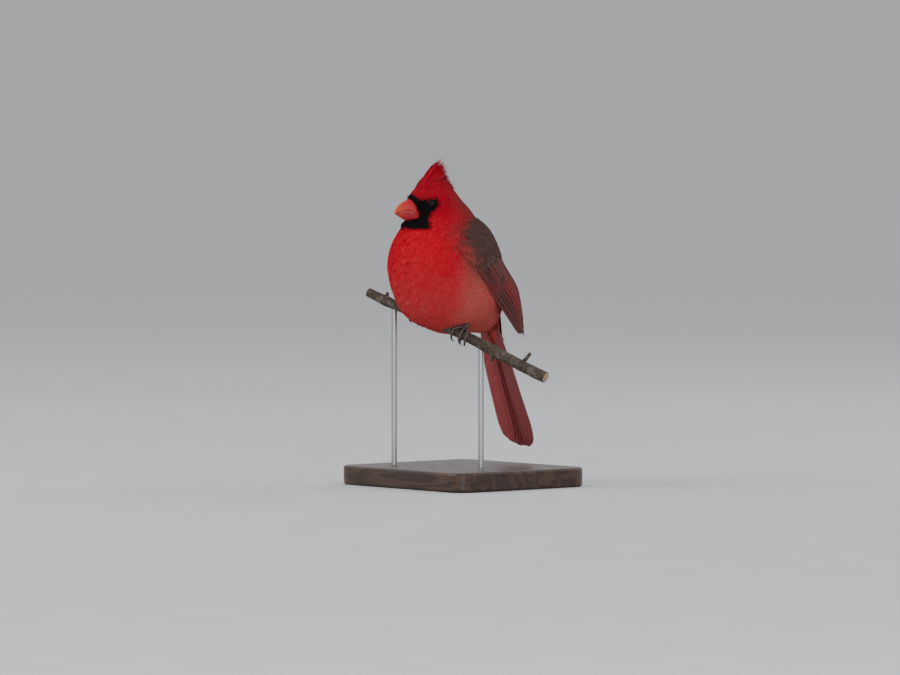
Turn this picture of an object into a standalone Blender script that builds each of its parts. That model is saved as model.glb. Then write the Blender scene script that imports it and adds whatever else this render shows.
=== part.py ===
"""A male northern cardinal, life size, fluffed against the cold on a short cut branch.

The bird faces -Y, its left is +X and +Z is up. The origin is under the middle of the stand's base.
Shapes are worked out about PERCH_MID, the middle of the branch between the two feet.
"""

import math

import bmesh
import bpy
import numpy as np
from mathutils import Matrix, Vector

# Driving dimensions, in metres and degrees
GAP = 0.0003
PERCH_MID = np.array([-0.008, -0.018, 0.112])
BODY_PITCH = 50.0
BODY_LENGTH, BODY_WIDTH, BODY_DEPTH = 0.0892, 0.0770, 0.0754
HEAD_CENTRE = np.array([-0.0005, -0.0010, 0.0790])
HEAD_YAW = -20.0
HEAD_LENGTH, HEAD_WIDTH, HEAD_HEIGHT = 0.0375, 0.0300, 0.0345
EYE_RADIUS, NOSTRIL_RADIUS = 0.0034, 0.0009
TAIL_ROOT = np.array([0.0, 0.0492, 0.0060])
TAIL_LENGTH, TAIL_WIDTH, TAIL_PITCH = 0.100, 0.0315, 70.5
TAIL_FEATHER = 0.0140
PERCH_RADIUS, PERCH_TURN, PERCH_FALL = 0.0034, 20.0, 0.40
PERCH_LEFT, PERCH_RIGHT = -0.056, 0.094
FOOT_SPREAD, FOOT_SHIFT = 0.035, 0.006
BASE_SIZE, BASE_THICK = (0.132, 0.116), 0.013
BASE_CORNER, BASE_BEVEL = 0.012, 0.0016
ROD_RADIUS, ROD_PLACES = 0.0020, (-0.034, 0.039)
VANE_THICK, VANE_RISE = 0.0006, 0.00042
CREST_HALF_WIDTH, TAIL_COVERT_HALF_WIDTH = 0.0040, 0.0042

FIELD_SHARPNESS = 9.0
HEAD_FACES_KEPT, MERGE_DISTANCE = 0.11, 1e-7


def turn_about_z(degrees):
    a = math.radians(degrees)
    return np.array([[math.cos(a), -math.sin(a), 0], [math.sin(a), math.cos(a), 0], [0, 0, 1]])


def turn_about_x(degrees):
    a = math.radians(degrees)
    return np.array([[1, 0, 0], [0, math.cos(a), -math.sin(a)], [0, math.sin(a), math.cos(a)]])


def unit(v):
    v = np.asarray(v, float)
    return v / np.maximum(np.linalg.norm(v, axis=-1, keepdims=True), 1e-12)


HEAD_TURN = turn_about_z(HEAD_YAW)


def in_head(side, forward, up):
    """A point given from the middle of the head: to the bird's left, forward and up."""
    return HEAD_CENTRE + HEAD_TURN @ np.array([side, -forward, up])


def lobe(centre, width, length, height, pitch=0.0, yaw=0.0):
    """An ellipsoid of the body. Its length lies along Y before it is pitched nose up and turned."""
    axes = turn_about_z(yaw) @ turn_about_x(-pitch)
    shrink = np.diag([2 / width, 2 / length, 2 / height]) @ axes.T
    return np.asarray(centre, float), shrink


def body_lobes():
    """The fluffed outline of trunk, neck and head, as soft-edged ellipsoids about PERCH_MID."""
    head = dict(yaw=HEAD_YAW)
    return [
        lobe((0, 0.0093, 0.0330), BODY_WIDTH, BODY_LENGTH, BODY_DEPTH, BODY_PITCH),
        lobe((-0.002, -0.0055, 0.0166), 0.0413, 0.0334, 0.0342),
        lobe((0.0, 0.0330, 0.0165), 0.042, 0.050, 0.034, 62.0),
        lobe((0.0, 0.0175, 0.0527), 0.0509, 0.0474, 0.0414, 30.0),
        lobe((0.0, 0.0096, 0.0689), 0.0369, 0.0363, 0.0317),
        lobe((-0.001, 0.0043, 0.0628), 0.0420, 0.0373, 0.0356),
        lobe(HEAD_CENTRE, HEAD_WIDTH, HEAD_LENGTH, HEAD_HEIGHT, **head),
        lobe(in_head(0, 0.0138, -0.0108), 0.0160, 0.0180, 0.0145, **head),
    ]


LOBES = body_lobes()
BILL_HOLLOW = lobe(in_head(0, 0.0217, -0.0034), 0.0208, 0.0315, 0.0148, 12.0, HEAD_YAW)


def field(points):
    """Above 1 inside the body, 1 on its skin. points are about PERCH_MID."""
    total = np.zeros(len(points))
    for centre, shrink in LOBES:
        q = np.linalg.norm((points - centre) @ shrink.T, axis=1)
        total += np.exp(FIELD_SHARPNESS * (1 - q))
    centre, shrink = BILL_HOLLOW
    q = np.linalg.norm((points - centre) @ shrink.T, axis=1)
    return total - 2.0 * np.exp(FIELD_SHARPNESS * (1 - q))


def field_normals(points, step=0.0002):
    grad = np.stack(
        [field(points - step * e) - field(points + step * e) for e in np.eye(3)], axis=1
    )
    return unit(grad)


def reach(centre, directions, grow=0.0, longest=0.075):
    """The surface points met by rays from centre, moved out along the normal by grow."""
    steps = np.linspace(0.002, longest, 80)
    low = np.zeros(len(directions))
    high = np.full(len(directions), longest)
    found = np.zeros(len(directions), bool)
    for near, far in zip(steps[:-1], steps[1:]):
        outside = field(centre + directions * far) < 1
        fresh = outside & ~found
        low[fresh], high[fresh] = near, far
        found |= outside
    for _ in range(24):
        middle = (low + high) / 2
        inside = field(centre + directions * middle[:, None]) > 1
        low, high = np.where(inside, middle, low), np.where(inside, high, middle)
    points = centre + directions * low[:, None]
    return points + field_normals(points) * grow


def material(name, colour, roughness, metallic=0.0):
    made = bpy.data.materials.get(name) or bpy.data.materials.new(name)
    made.use_nodes = True
    shader = made.node_tree.nodes["Principled BSDF"]
    shader.inputs["Base Color"].default_value = (*colour, 1)
    shader.inputs["Roughness"].default_value = roughness
    shader.inputs["Metallic"].default_value = metallic
    made.diffuse_color = (*colour, 1)
    return made


def new_object(name, points, faces, finish, offset=PERCH_MID):
    mesh = bpy.data.meshes.new(name)
    mesh.from_pydata((np.asarray(points) + offset).tolist(), [], [list(f) for f in faces])
    made = bpy.data.objects.new(name, mesh)
    bpy.context.scene.collection.objects.link(made)
    if finish:
        mesh.materials.append(finish)
    face_out(made)
    return made


def face_out(thing):
    """Points the faces of a closed mesh out."""
    work = bmesh.new()
    work.from_mesh(thing.data)
    bmesh.ops.recalc_face_normals(work, faces=work.faces)
    if work.calc_volume(signed=True) < 0:
        bmesh.ops.reverse_faces(work, faces=work.faces)
    work.to_mesh(thing.data)
    work.free()


def band(row, following, sides):
    """The faces between two rings of sides points each."""
    a, b = row * sides, following * sides
    return [(a + j, a + (j + 1) % sides, b + (j + 1) % sides, b + j) for j in range(sides)]


def loft(rings, ends=(None, None)):
    """Points and faces of a closed tube through rings of points, each end closed by a fan."""
    count, sides = len(rings), len(rings[0])
    points = [p for ring in rings for p in ring]
    faces = []
    for row in range(count - 1):
        faces += band(row, row + 1, sides)
    for ring, end, row in ((rings[0], ends[0], 0), (rings[-1], ends[1], count - 1)):
        points.append(np.mean(ring, axis=0) if end is None else end)
        hub = len(points) - 1
        faces += [(row * sides + j, row * sides + (j + 1) % sides, hub) for j in range(sides)]
    return np.array(points), faces


def globe(rows, sides, pole):
    """Rings of directions from one pole to the other about the axis pole."""
    axis = Vector(pole).normalized()
    turn = np.array(axis.to_track_quat("Z", "Y").to_matrix())
    tilt = np.pi * (np.arange(rows) + 1) / (rows + 1)
    spin = 2 * np.pi * np.arange(sides) / sides
    rings = np.stack(
        [
            np.sin(tilt)[:, None] * np.cos(spin),
            np.sin(tilt)[:, None] * np.sin(spin),
            np.cos(tilt)[:, None] * np.ones(sides),
        ],
        axis=2,
    )
    return rings @ turn.T, turn @ [0, 0, 1]


def body_piece(name, centre, rows, sides, pole, finish, grow=0.0):
    """A closed mesh of the body's surface as seen from centre."""
    directions, top = globe(rows, sides, pole)
    rings = reach(centre, directions.reshape(-1, 3), grow).reshape(rows, sides, 3)
    ends = reach(centre, np.array([top, -top]), grow)
    return new_object(name, *loft(list(rings), ends), finish)


def slice_off(thing, point, normal):
    """Cuts away what lies on the side that normal points to, and closes the cut."""
    work = bmesh.new()
    work.from_mesh(thing.data)
    everything = list(work.verts) + list(work.edges) + list(work.faces)
    place, way = Vector(point + PERCH_MID), Vector(normal)
    cut = bmesh.ops.bisect_plane(work, geom=everything, plane_co=place, plane_no=way, clear_outer=True)
    edges = [e for e in cut["geom_cut"] if isinstance(e, bmesh.types.BMEdge)]
    bmesh.ops.contextual_create(work, geom=edges)
    bmesh.ops.recalc_face_normals(work, faces=work.faces)
    work.to_mesh(thing.data)
    work.free()


def remove(things):
    for thing in things:
        bpy.data.objects.remove(thing)


def merge_flat(thing, ratio):
    """Merges faces, most where the surface bends least, until that share of them is left."""
    thing.modifiers.new("merge", "DECIMATE").ratio = ratio
    graph = bpy.context.evaluated_depsgraph_get()
    thing.data = bpy.data.meshes.new_from_object(thing.evaluated_get(graph))
    thing.modifiers.clear()


def boolean(thing, operation, others, solver="EXACT"):
    """Joins others to thing, or cuts them from it, applies that and removes them."""
    group = bpy.data.collections.new(thing.name + "_others")
    for other in others:
        group.objects.link(other)
    change = thing.modifiers.new(operation, "BOOLEAN")
    change.operation, change.solver = operation, solver
    change.operand_type, change.collection = "COLLECTION", group
    graph = bpy.context.evaluated_depsgraph_get()
    done = bpy.data.meshes.new_from_object(thing.evaluated_get(graph))
    thing.modifiers.clear()
    thing.data = done
    bpy.data.collections.remove(group)
    remove(others)
    keep_largest(thing)


def carve(thing, cutters, solver="EXACT"):
    """Cuts each of the cutters from thing in turn, and removes it."""
    for cutter in cutters:
        boolean(thing, "DIFFERENCE", [cutter], solver)


def keep_largest(thing):
    """Keeps the largest closed surface of a mesh, with corners that fall on one another merged."""
    work = bmesh.new()
    work.from_mesh(thing.data)
    bmesh.ops.remove_doubles(work, verts=work.verts, dist=MERGE_DISTANCE)
    left, islands = set(work.faces), []
    while left:
        queue, island = [left.pop()], []
        while queue:
            face = queue.pop()
            island.append(face)
            near = {f for e in face.edges for f in e.link_faces} & left
            left -= near
            queue += near
        islands.append(island)
    islands.sort(key=lambda island: sum(f.calc_area() for f in island))
    for island in islands[:-1]:
        bmesh.ops.delete(work, geom=island, context="FACES")
    bmesh.ops.triangulate(work, faces=work.faces)
    work.to_mesh(thing.data)
    work.free()


def smooth(thing, angle=40.0):
    thing.data.shade_smooth()
    thing.data.set_sharp_from_angle(angle=math.radians(angle))
    return thing


def tube(name, line, radii, sides, finish, ends=(None, None)):
    """A closed round tube along a line of points."""
    line = np.asarray(line, float)
    along = unit(np.gradient(line, axis=0))
    across = unit(np.cross(along[0], [0.13, 0.91, 0.39]))
    spin = 2 * np.pi * np.arange(sides) / sides
    rings = []
    for point, way, radius in zip(line, along, radii):
        across = unit(across - way * (across @ way))
        third = np.cross(way, across)
        rings.append(point + radius * (np.cos(spin)[:, None] * across + np.sin(spin)[:, None] * third))
    return new_object(name, *loft(rings, ends), finish)


def through(knots, count):
    """count points on a smooth curve through the knots."""
    knots = np.asarray(knots, float)
    padded = np.vstack([2 * knots[0] - knots[1], knots, 2 * knots[-1] - knots[-2]])
    place = np.linspace(0, len(knots) - 1, count)
    piece = np.minimum(place.astype(int), len(knots) - 2)
    t = (place - piece)[:, None]
    a, b, c, d = (padded[piece + k] for k in range(4))
    curve = 2 * b + (c - a) * t + (2 * a - 5 * b + 4 * c - d) * t**2 + (3 * b - a - 3 * c + d) * t**3
    return curve / 2


PERCH_ALONG = unit(turn_about_z(PERCH_TURN) @ [1, 0, -PERCH_FALL])


def perch_point(distance):
    """The branch's middle line, distance along it from PERCH_MID to the bird's left."""
    bend = 0.0016 * (math.sin(distance / 0.021 + 0.6) - math.sin(0.6))
    return PERCH_ALONG * distance + np.array([0.0, 0.4 * bend, 0.5 * bend])


# Guide lines of the left wing's sheet from the wrist to the tip, and the middle of the trunk
WING_HIGH = [
    (0.0190, 0.0100, 0.0680), (0.0085, 0.0430, 0.0530), (0.0055, 0.0645, 0.0250), (0.0105, 0.0720, -0.0100)
]
WING_MIDDLE = [
    (0.0320, 0.0020, 0.0610), (0.0290, 0.0330, 0.0400), (0.0215, 0.0560, 0.0155), (0.0125, 0.0700, -0.0128)
]
WING_LOW = [
    (0.0375, -0.0040, 0.0500), (0.0365, 0.0160, 0.0255), (0.0272, 0.0415, 0.0030), (0.0140, 0.0675, -0.0150)
]
TRUNK_MIDDLE = np.array([0.0, 0.0087, 0.0345])
NECK_MIDDLE = np.array([0.0, 0.0020, 0.0650])
WING_ROWS, WING_COLUMNS = 41, 25
WING_T = np.linspace(-1.3, 1.3, WING_COLUMNS)


def ease(value, low, high):
    t = np.clip((value - low) / (high - low), 0, 1)
    return t * t * (3 - 2 * t)


def wing_grid():
    """Points of the left wing's sheet: it hugs the body at the wrist and runs free towards the tip."""
    high, middle, low = (through(k, WING_ROWS)[:, None] for k in (WING_HIGH, WING_MIDDLE, WING_LOW))
    t = WING_T[None, :, None]
    free = middle + (high - low) * t / 2 + (high + low - 2 * middle) * t * t / 2
    s = np.linspace(0, 1, WING_ROWS)[:, None, None]
    away = (free - TRUNK_MIDDLE).reshape(-1, 3)
    hugging = reach(TRUNK_MIDDLE, unit(away), 0.0, 0.09).reshape(free.shape)
    normal = field_normals(hugging.reshape(-1, 3)).reshape(free.shape)
    lift = 0.0002 - 0.0024 * (1 - ease(t, -1.0, -0.3)) - 0.0026 * (1 - ease(s, 0.0, 0.12))
    loose = ease(s, 0.28, 0.66)
    return (hugging + normal * lift) * (1 - loose) + free * loose


WING = wing_grid()


def wing_at(s, t):
    """Point and outward normal of the left wing's sheet, s from wrist to tip, t from low to high edge."""
    s, t = np.broadcast_arrays(np.asarray(s, float), np.asarray(t, float))

    def place(s, t):
        i = np.clip(s, 0, 1) * (WING_ROWS - 1)
        j = np.clip((t - WING_T[0]) / (WING_T[-1] - WING_T[0]), 0, 1) * (WING_COLUMNS - 1)
        a = np.minimum(i.astype(int), WING_ROWS - 2)
        b = np.minimum(j.astype(int), WING_COLUMNS - 2)
        u, v = (i - a)[..., None], (j - b)[..., None]
        near = WING[a, b] * (1 - v) + WING[a, b + 1] * v
        far = WING[a + 1, b] * (1 - v) + WING[a + 1, b + 1] * v
        return near * (1 - u) + far * u

    small = 0.02
    along = place(s + small, t) - place(s - small, t)
    across = place(s, t + small) - place(s, t - small)
    return place(s, t), unit(np.cross(along, across))


def wing_core(finish):
    """The closed sheet under the wing's vanes, tapered to the tip."""
    rings = []
    for s in np.linspace(0.0, 0.86, 8):
        narrow = 1 - 0.35 * ease(s, 0.45, 0.9)
        point, normal = wing_at(s, np.linspace(-0.95, 0.90, 6) * narrow)
        rings.append(np.vstack([point + normal * 0.0003, (point - normal * 0.0009)[::-1]]))
    return new_object("wing_core", *loft(rings), finish)


def vane(name, line, across, normal, half_widths, rise, finish):
    """A thin closed blade along a line, its faces split alike above and below.

    rise lifts one long edge and sinks the other, as in a row of shingles."""
    low = line - across * half_widths[:, None] + normal * (VANE_THICK / 2 + rise)
    high = line + across * half_widths[:, None] + normal * (VANE_THICK / 2 - rise)
    deep = normal * VANE_THICK
    points = np.stack([low, high, high - deep, low - deep], axis=1).reshape(-1, 3)
    faces = [(0, 1, 2), (0, 2, 3)]
    last = 4 * (len(line) - 1)
    faces += [(last, last + 1, last + 2), (last, last + 2, last + 3)]
    for a in range(0, last, 4):
        b = a + 4
        faces += [(a, a + 1, b + 1), (a, b + 1, b)]
        faces += [(a + 3, a + 2, b + 2), (a + 3, b + 2, b + 3)]
        faces += [(a + 1, a + 2, b + 2), (a + 1, b + 2, b + 1)]
        faces += [(a, a + 3, b + 3), (a, b + 3, b)]
    return new_object(name, points, faces, finish)


def curved_vane(name, line, normal, half_widths, finish):
    """A vane along a line that bends within the plane of its normal, square to the line all along."""
    ahead = unit(np.gradient(line, axis=0))
    across = unit(np.cross(normal, ahead))
    return vane(name, line, across, np.cross(ahead, across), half_widths, 0.0, finish)


# Rows of wing vanes: name, how many, s at the roots, t of the first root and step to the next,
# s at the first, middle and last tip, t of the first tip and step to the next, half width
WING_ROWS_OF_VANES = [
    ("primary", 8, 0.40, (-0.86, 0.10), (0.91, 1.00, 0.84), (-0.75, 0.19), 0.0030),
    ("secondary", 5, 0.34, (-0.30, 0.17), (0.77, 0.77, 0.73), (-0.22, 0.20), 0.0040),
    ("tertial", 3, 0.32, (0.48, 0.16), (0.70, 0.66, 0.59), (0.55, 0.17), 0.0046),
    ("primary_covert", 3, 0.20, (-0.95, 0.16), (0.46, 0.47, 0.45), (-0.92, 0.16), 0.0034),
    ("greater_covert", 6, 0.17, (-0.45, 0.23), (0.38, 0.41, 0.40), (-0.42, 0.235), 0.0044),
    ("median_covert", 5, 0.04, (-0.60, 0.31), (0.19, 0.225, 0.21), (-0.58, 0.33), 0.0056),
]
VANE_SHARES = np.array([0.0, 0.5, 0.85, 1.0])
VANE_WIDTHS = np.array([0.75, 1.00, 0.88, 0.30])


def wing_vanes(finish):
    pieces = []
    for tier, (name, count, root_s, root_t, tip_s, tip_t, half) in enumerate(WING_ROWS_OF_VANES):
        for k in range(count):
            end = np.interp(k / (count - 1), (0.0, 0.5, 1.0), tip_s)
            start_t, end_t = root_t[0] + root_t[1] * k, tip_t[0] + tip_t[1] * k
            s = root_s + (end - root_s) * VANE_SHARES
            t = start_t + (end_t - start_t) * VANE_SHARES
            point, normal = wing_at(s, t)
            ahead = unit(np.gradient(point, axis=0))
            across = unit(np.cross(ahead, normal))
            lift = (0.0004 + 0.00028 * min(tier, 3)) * (1 - 0.6 * ease(s, 0.5, 1.0))
            lift[0] -= 0.0018 if tier > 2 else 0.0006
            line = point + normal * lift[:, None]
            pieces.append(vane(name, line, across, normal, half * VANE_WIDTHS, VANE_RISE, finish))
    return pieces


TAIL_TURN = turn_about_x(-TAIL_PITCH)
TAIL_BACK = TAIL_TURN @ [0, 0, 1]


def in_tail(side, along, back):
    """A point given from the root of the tail: to the bird's left, along the tail and towards its back."""
    return TAIL_ROOT + TAIL_TURN @ [side, along, back]


# The bill's lines in profile, as (forward, up) from the middle of the head
CULMEN = [(0.0110, 0.0076), (0.0190, 0.0057), (0.0232, 0.0030), (0.0265, -0.0004), (0.0287, -0.0050)]
CUTTING_EDGE = [(0.0100, -0.0098), (0.0140, -0.0062), (0.0185, -0.0031), (0.0240, -0.0036), (0.0284, -0.0050)]
GONYS = [(0.0100, -0.0112), (0.0160, -0.0110), (0.0212, -0.0092), (0.0250, -0.0070), (0.0276, -0.0052)]
BILL_STATIONS = (0.0105, 0.0135, 0.0165, 0.0190, 0.0215, 0.0240, 0.0262)
BILL_BASE = 0.0140


def height_on(line, forward):
    fine = through(line, 60)
    return np.interp(forward, fine[:, 0], fine[:, 1])


def bill_half(name, upper, finish, grow=0.0):
    """One half of the bill, lofted through stations from inside the head to the tip."""
    if upper:
        profile, half_base, outward = CULMEN, 0.0053, 1
        stations = BILL_STATIONS + (GONYS[-1][0],)
    else:
        profile, half_base, outward = GONYS, 0.0060, -1
        stations = BILL_STATIONS
    tip = profile[-1][0]
    rings = []
    for forward in stations:
        share = min(1.0, (tip - forward) / (tip - BILL_BASE))
        half = half_base * share**0.62 + grow
        rim = height_on(CUTTING_EDGE, forward) + outward * (GAP / 2 - grow)
        far = height_on(profile, forward) + outward * grow
        angles = np.linspace(0, np.pi, 9)
        side = half * np.sign(np.cos(angles)) * np.abs(np.cos(angles)) ** 0.8
        up = rim + (far - rim) * np.sin(angles) ** 0.9
        rings.append(np.array([in_head(x, forward, z) for x, z in zip(side, up)]))
    point = in_head(0, tip + grow, profile[-1][1])
    return new_object(name, *loft(rings, (None, point)), finish)


def eye_places(side):
    """The middle of an eye and the way it looks."""
    towards = HEAD_TURN @ unit([side * 0.0122, -0.0052, 0.0019])
    surface = reach(HEAD_CENTRE, towards[None])[0]
    out = field_normals(surface[None])[0]
    return surface - out * (EYE_RADIUS - 0.0012), out


def ball(name, centre, radius, rows, sides, finish, pole=(0, 0, 1)):
    directions, top = globe(rows, sides, pole)
    ends = (centre + top * radius, centre - top * radius)
    return new_object(name, *loft(list(centre + directions * radius), ends), finish)


def foot_frame(distance):
    """The middle of the branch under a foot, with its ways along the branch, up and to the front."""
    up = unit(np.array([0, 0, 1]) - PERCH_ALONG * PERCH_ALONG[2])
    return perch_point(distance), PERCH_ALONG, up, np.cross(PERCH_ALONG, up)


# Each foot's place along the branch from PERCH_MID
FEET = [("left", FOOT_SHIFT + FOOT_SPREAD / 2), ("right", FOOT_SHIFT - FOOT_SPREAD / 2)]

# Toes as (name, splay along the branch, start angle, end angle, length of claw)
TOES = [
    ("1", -0.0026, 82.0, 205.0, 0.0068),
    ("2", -0.0056, 98.0, -34.0, 0.0052),
    ("3", 0.0008, 96.0, -58.0, 0.0058),
    ("4", 0.0056, 98.0, -40.0, 0.0050),
]
TOE_RADIUS = 0.00105


def toe_point(distance, toe, share):
    """A point on a toe's middle line, share of the way from the foot to the toe's end."""
    _, splay, start, end, _ = toe
    middle, along, up, front = foot_frame(distance)
    angle = math.radians(start + (end - start) * share)
    spread = splay * min(1.0, share * 1.8) ** 0.8
    out = PERCH_RADIUS + TOE_RADIUS + GAP + 0.0003 + 0.0011 * max(0.0, share - 0.45)
    return middle + along * spread + out * (front * math.cos(angle) + up * math.sin(angle))


TOE_PADS = [1.25, 1.00, 1.10, 0.92, 1.05, 0.88, 0.80]


def toe_line(distance, toe):
    """A toe's middle line, from the foot over the branch and round it."""
    return np.array([toe_point(distance, toe, share) for share in np.linspace(0, 1, len(TOE_PADS))])


CLAW_RADII = [0.00075, 0.00070, 0.00052, 0.00034, 0.00012]
CLAW_TURN = 62.0


def claw_line(distance, toe):
    """A claw's middle line, running on from its toe and hooking round."""
    line = toe_line(distance, toe)
    ahead = unit(line[-1] - line[-2])
    inward = unit(foot_frame(distance)[0] - line[-1])
    inward = unit(inward - ahead * (inward @ ahead))
    turn = math.radians(CLAW_TURN)
    start = line[-1] + ahead * (GAP + 0.0001)
    radius = toe[4] / turn
    angles = np.linspace(0, turn, len(CLAW_RADII))
    return start + radius * (np.sin(angles)[:, None] * ahead + (1 - np.cos(angles))[:, None] * inward)


def claw_piece(name, distance, toe, finish, grow=0.0):
    radii = [r + grow for r in CLAW_RADII]
    line = claw_line(distance, toe)
    if grow:
        line[0] -= unit(line[1] - line[0]) * 3 * GAP
        line[-1] += unit(line[-1] - line[-2]) * grow
    return tube(name, line, radii, 5, finish)


def shank_line(distance):
    """The shank, from the foot on the branch up and back into the belly."""
    middle, _, up, front = foot_frame(distance)
    sole = middle + up * (PERCH_RADIUS + 0.0019)
    lean = unit(np.array([-0.12 * np.sign(distance), 0.62, 0.80]))
    return [sole, sole + lean * 0.004, sole + lean * 0.011, sole + lean * 0.019]


def leg_pieces(label, distance, finish, grow=0.0):
    """The shank and toes of a foot, or simpler ones grown by the gap to cut their place."""
    radii = [r + grow for r in (0.0019, 0.0013, 0.0013, 0.0016)]
    pieces = [tube(f"shank_{label}", shank_line(distance), radii, 5 if grow else 7, finish)]
    for toe in TOES:
        line = toe_line(distance, toe)
        radii = [TOE_RADIUS * pad + grow for pad in TOE_PADS]
        if grow:
            line, radii = line[::2], radii[::2]
        pieces.append(tube(f"toe_{label}_{toe[0]}", line, radii, 5 if grow else 6, finish))
    return pieces


def build_legs(skin, horn):
    for label, distance in FEET:
        pieces = leg_pieces(label, distance, skin)
        leg = pieces[0]
        leg.name = leg.data.name = f"leg_{label}"
        boolean(leg, "UNION", pieces[1:])
        smooth(leg)
        for toe in TOES:
            smooth(claw_piece(f"claw_{label}_{toe[0]}", distance, toe, horn))


# Stubs of broken twigs as (distance along the branch, way, length)
TWIG_STUBS = [
    (0.048, (0.5, -0.35, -0.8), 0.009),
    (-0.041, (-0.4, 0.5, 0.75), 0.007),
    (0.073, (0.6, 0.3, 0.75), 0.011),
]
STUB_RADII = [0.0017, 0.0013, 0.0011]


def perch_tube(name, finish, grow=0.0):
    """The branch, round under the feet and knotted and uneven elsewhere."""
    rng = np.random.default_rng(7)
    stations = np.linspace(PERCH_LEFT, PERCH_RIGHT, 21)
    radii = []
    for distance in stations:
        near_foot = abs(abs(distance - FOOT_SHIFT) - FOOT_SPREAD / 2) < 0.008
        uneven = rng.uniform(-0.03, 0.03) + 1.4 * distance
        for place, _, _ in TWIG_STUBS[:2]:
            uneven += 0.14 * math.exp(-(((distance - place) / 0.004) ** 2))
        radii.append(PERCH_RADIUS * (1 if near_foot else 1 + uneven) + grow)
    return tube(name, [perch_point(distance) for distance in stations], radii, 10, finish)


def build_perch(bark):
    perch = perch_tube("perch", bark)
    stubs = []
    for distance, way, length in TWIG_STUBS:
        root = perch_point(distance)
        line = [root + unit(way) * length * share for share in (0.0, 0.6, 1.0)]
        stubs.append(tube("stub", line, STUB_RADII, 7, bark))
    boolean(perch, "UNION", stubs)
    smooth(perch, 50)


def build_flesh(red):
    """Trunk, neck and head, parted by thin cuts."""
    low, low_way = np.array([0, -0.0290, 0.0550]), unit([0, -0.14, 1.0])
    high, high_way = np.array([0, -0.0240, 0.0622]), unit([0, -0.30, 1.0])
    torso = trunk_piece("torso", red)
    slice_off(torso, low - low_way * GAP / 2, low_way)
    neck = body_piece("neck", NECK_MIDDLE, 22, 32, (0, -0.3, 1), red)
    slice_off(neck, low + low_way * GAP / 2, -low_way)
    slice_off(neck, high - high_way * GAP / 2, high_way)
    head = body_piece("head", in_head(0, 0.0, -0.0100), 64, 90, HEAD_TURN @ [0, -1, 0.30], red)
    merge_flat(head, HEAD_FACES_KEPT)
    slice_off(head, high + high_way * GAP / 2, -high_way)
    return torso, neck, head


def trunk_piece(name, finish, grow=0.0):
    """The whole body as seen from the middle of the trunk, its poles under the wings' edges."""
    return body_piece(name, TRUNK_MIDDLE, 22, 32, (0, -0.64, 0.77), finish, grow)


# The crest in profile, as (forward, up) from the middle of the head
CREST_ROOTS = [(0.0160, 0.0100), (0.0090, 0.0155), (0.0010, 0.0170), (-0.0080, 0.0150)]
CREST_TIPS = [(-0.0052, 0.0328), (-0.0076, 0.0268), (-0.0108, 0.0196), (-0.0155, 0.0122)]
CREST_FANS = (-72, -36, 0, 36, 72)
CREST_ROOT_DEPTH, CREST_TWIST = 0.0030, 2.5
CREST_SHARES = np.array([0.0, 0.3, 0.65, 1.0])
CREST_WIDTHS = np.array([0.12, 0.50, 0.95, 0.12])


def crest_vanes(finish):
    """Fans of crest feathers, swept up and back from the crown to one edge."""
    pieces = []
    for fan in CREST_FANS:
        for row, (root, tip) in enumerate(zip(CREST_ROOTS, CREST_TIPS)):
            lean = math.radians(fan + CREST_TWIST * row)
            side = math.sin(lean)
            drop = 1 - math.cos(lean)
            away = HEAD_TURN @ unit([side * 0.0080, -(root[0] - 0.003 * drop), root[1] - 0.0035 * drop])
            start = reach(HEAD_CENTRE, away[None])[0] - away * CREST_ROOT_DEPTH
            end = in_head(side * 0.0016, tip[0] - 0.0025 * drop, tip[1] - 0.0070 * drop * (tip[1] > 0.012))
            bow = (start + end) / 2 + HEAD_TURN @ np.array([side * 0.0022, -0.0030, 0.0022])
            a = CREST_SHARES[:, None]
            line = start * (1 - a) ** 2 + 2 * bow * a * (1 - a) + end * a * a
            out = HEAD_TURN @ np.array([side, -0.75 * math.cos(lean), 0.66 * math.cos(lean)])
            pieces.append(curved_vane("crest", line, out, CREST_HALF_WIDTH * CREST_WIDTHS, finish))
    return pieces


def crest_core(finish):
    """The close inner mass of the crest, up to half way to its tips."""
    rings = []
    for share, long, wide in ((0.0, 0.0108, 0.0064), (0.5, 0.0080, 0.0048), (1.0, 0.0030, 0.0020)):
        middle = in_head(0, 0.0012 - 0.0053 * share, 0.0115 + 0.0110 * share)
        spin = 2 * np.pi * np.arange(10) / 10
        rings.append(middle + (HEAD_TURN @ np.stack([wide * np.sin(spin), long * np.cos(spin), 0 * spin])).T)
    return new_object("crest_core", *loft(rings), finish)


def eyelid(side, finish):
    """The swollen rim of the lids, drawn out a little before and behind the eye."""
    centre, out = eye_places(side)
    ahead = HEAD_TURN @ np.array([0, -1, -0.12])
    ahead = unit(ahead - out * (ahead @ out))
    up = np.cross(out, ahead) * side
    turns = 2 * np.pi * np.arange(12) / 12
    rings = []
    for a in turns:
        long, high = 0.0029 + 0.0004 * abs(math.cos(a)) ** 6, 0.00275
        middle = centre + out * 0.0020 + ahead * long * math.cos(a) + up * high * math.sin(a)
        way = unit(ahead * math.cos(a) + up * math.sin(a))
        spin = 2 * np.pi * np.arange(5) / 5
        rings.append(middle + 0.0006 * (np.cos(spin)[:, None] * way + np.sin(spin)[:, None] * out))
    faces = []
    for row in range(len(rings)):
        faces += band(row, (row + 1) % len(rings), 5)
    return new_object("eyelid", np.vstack(rings), faces, finish)


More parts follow.
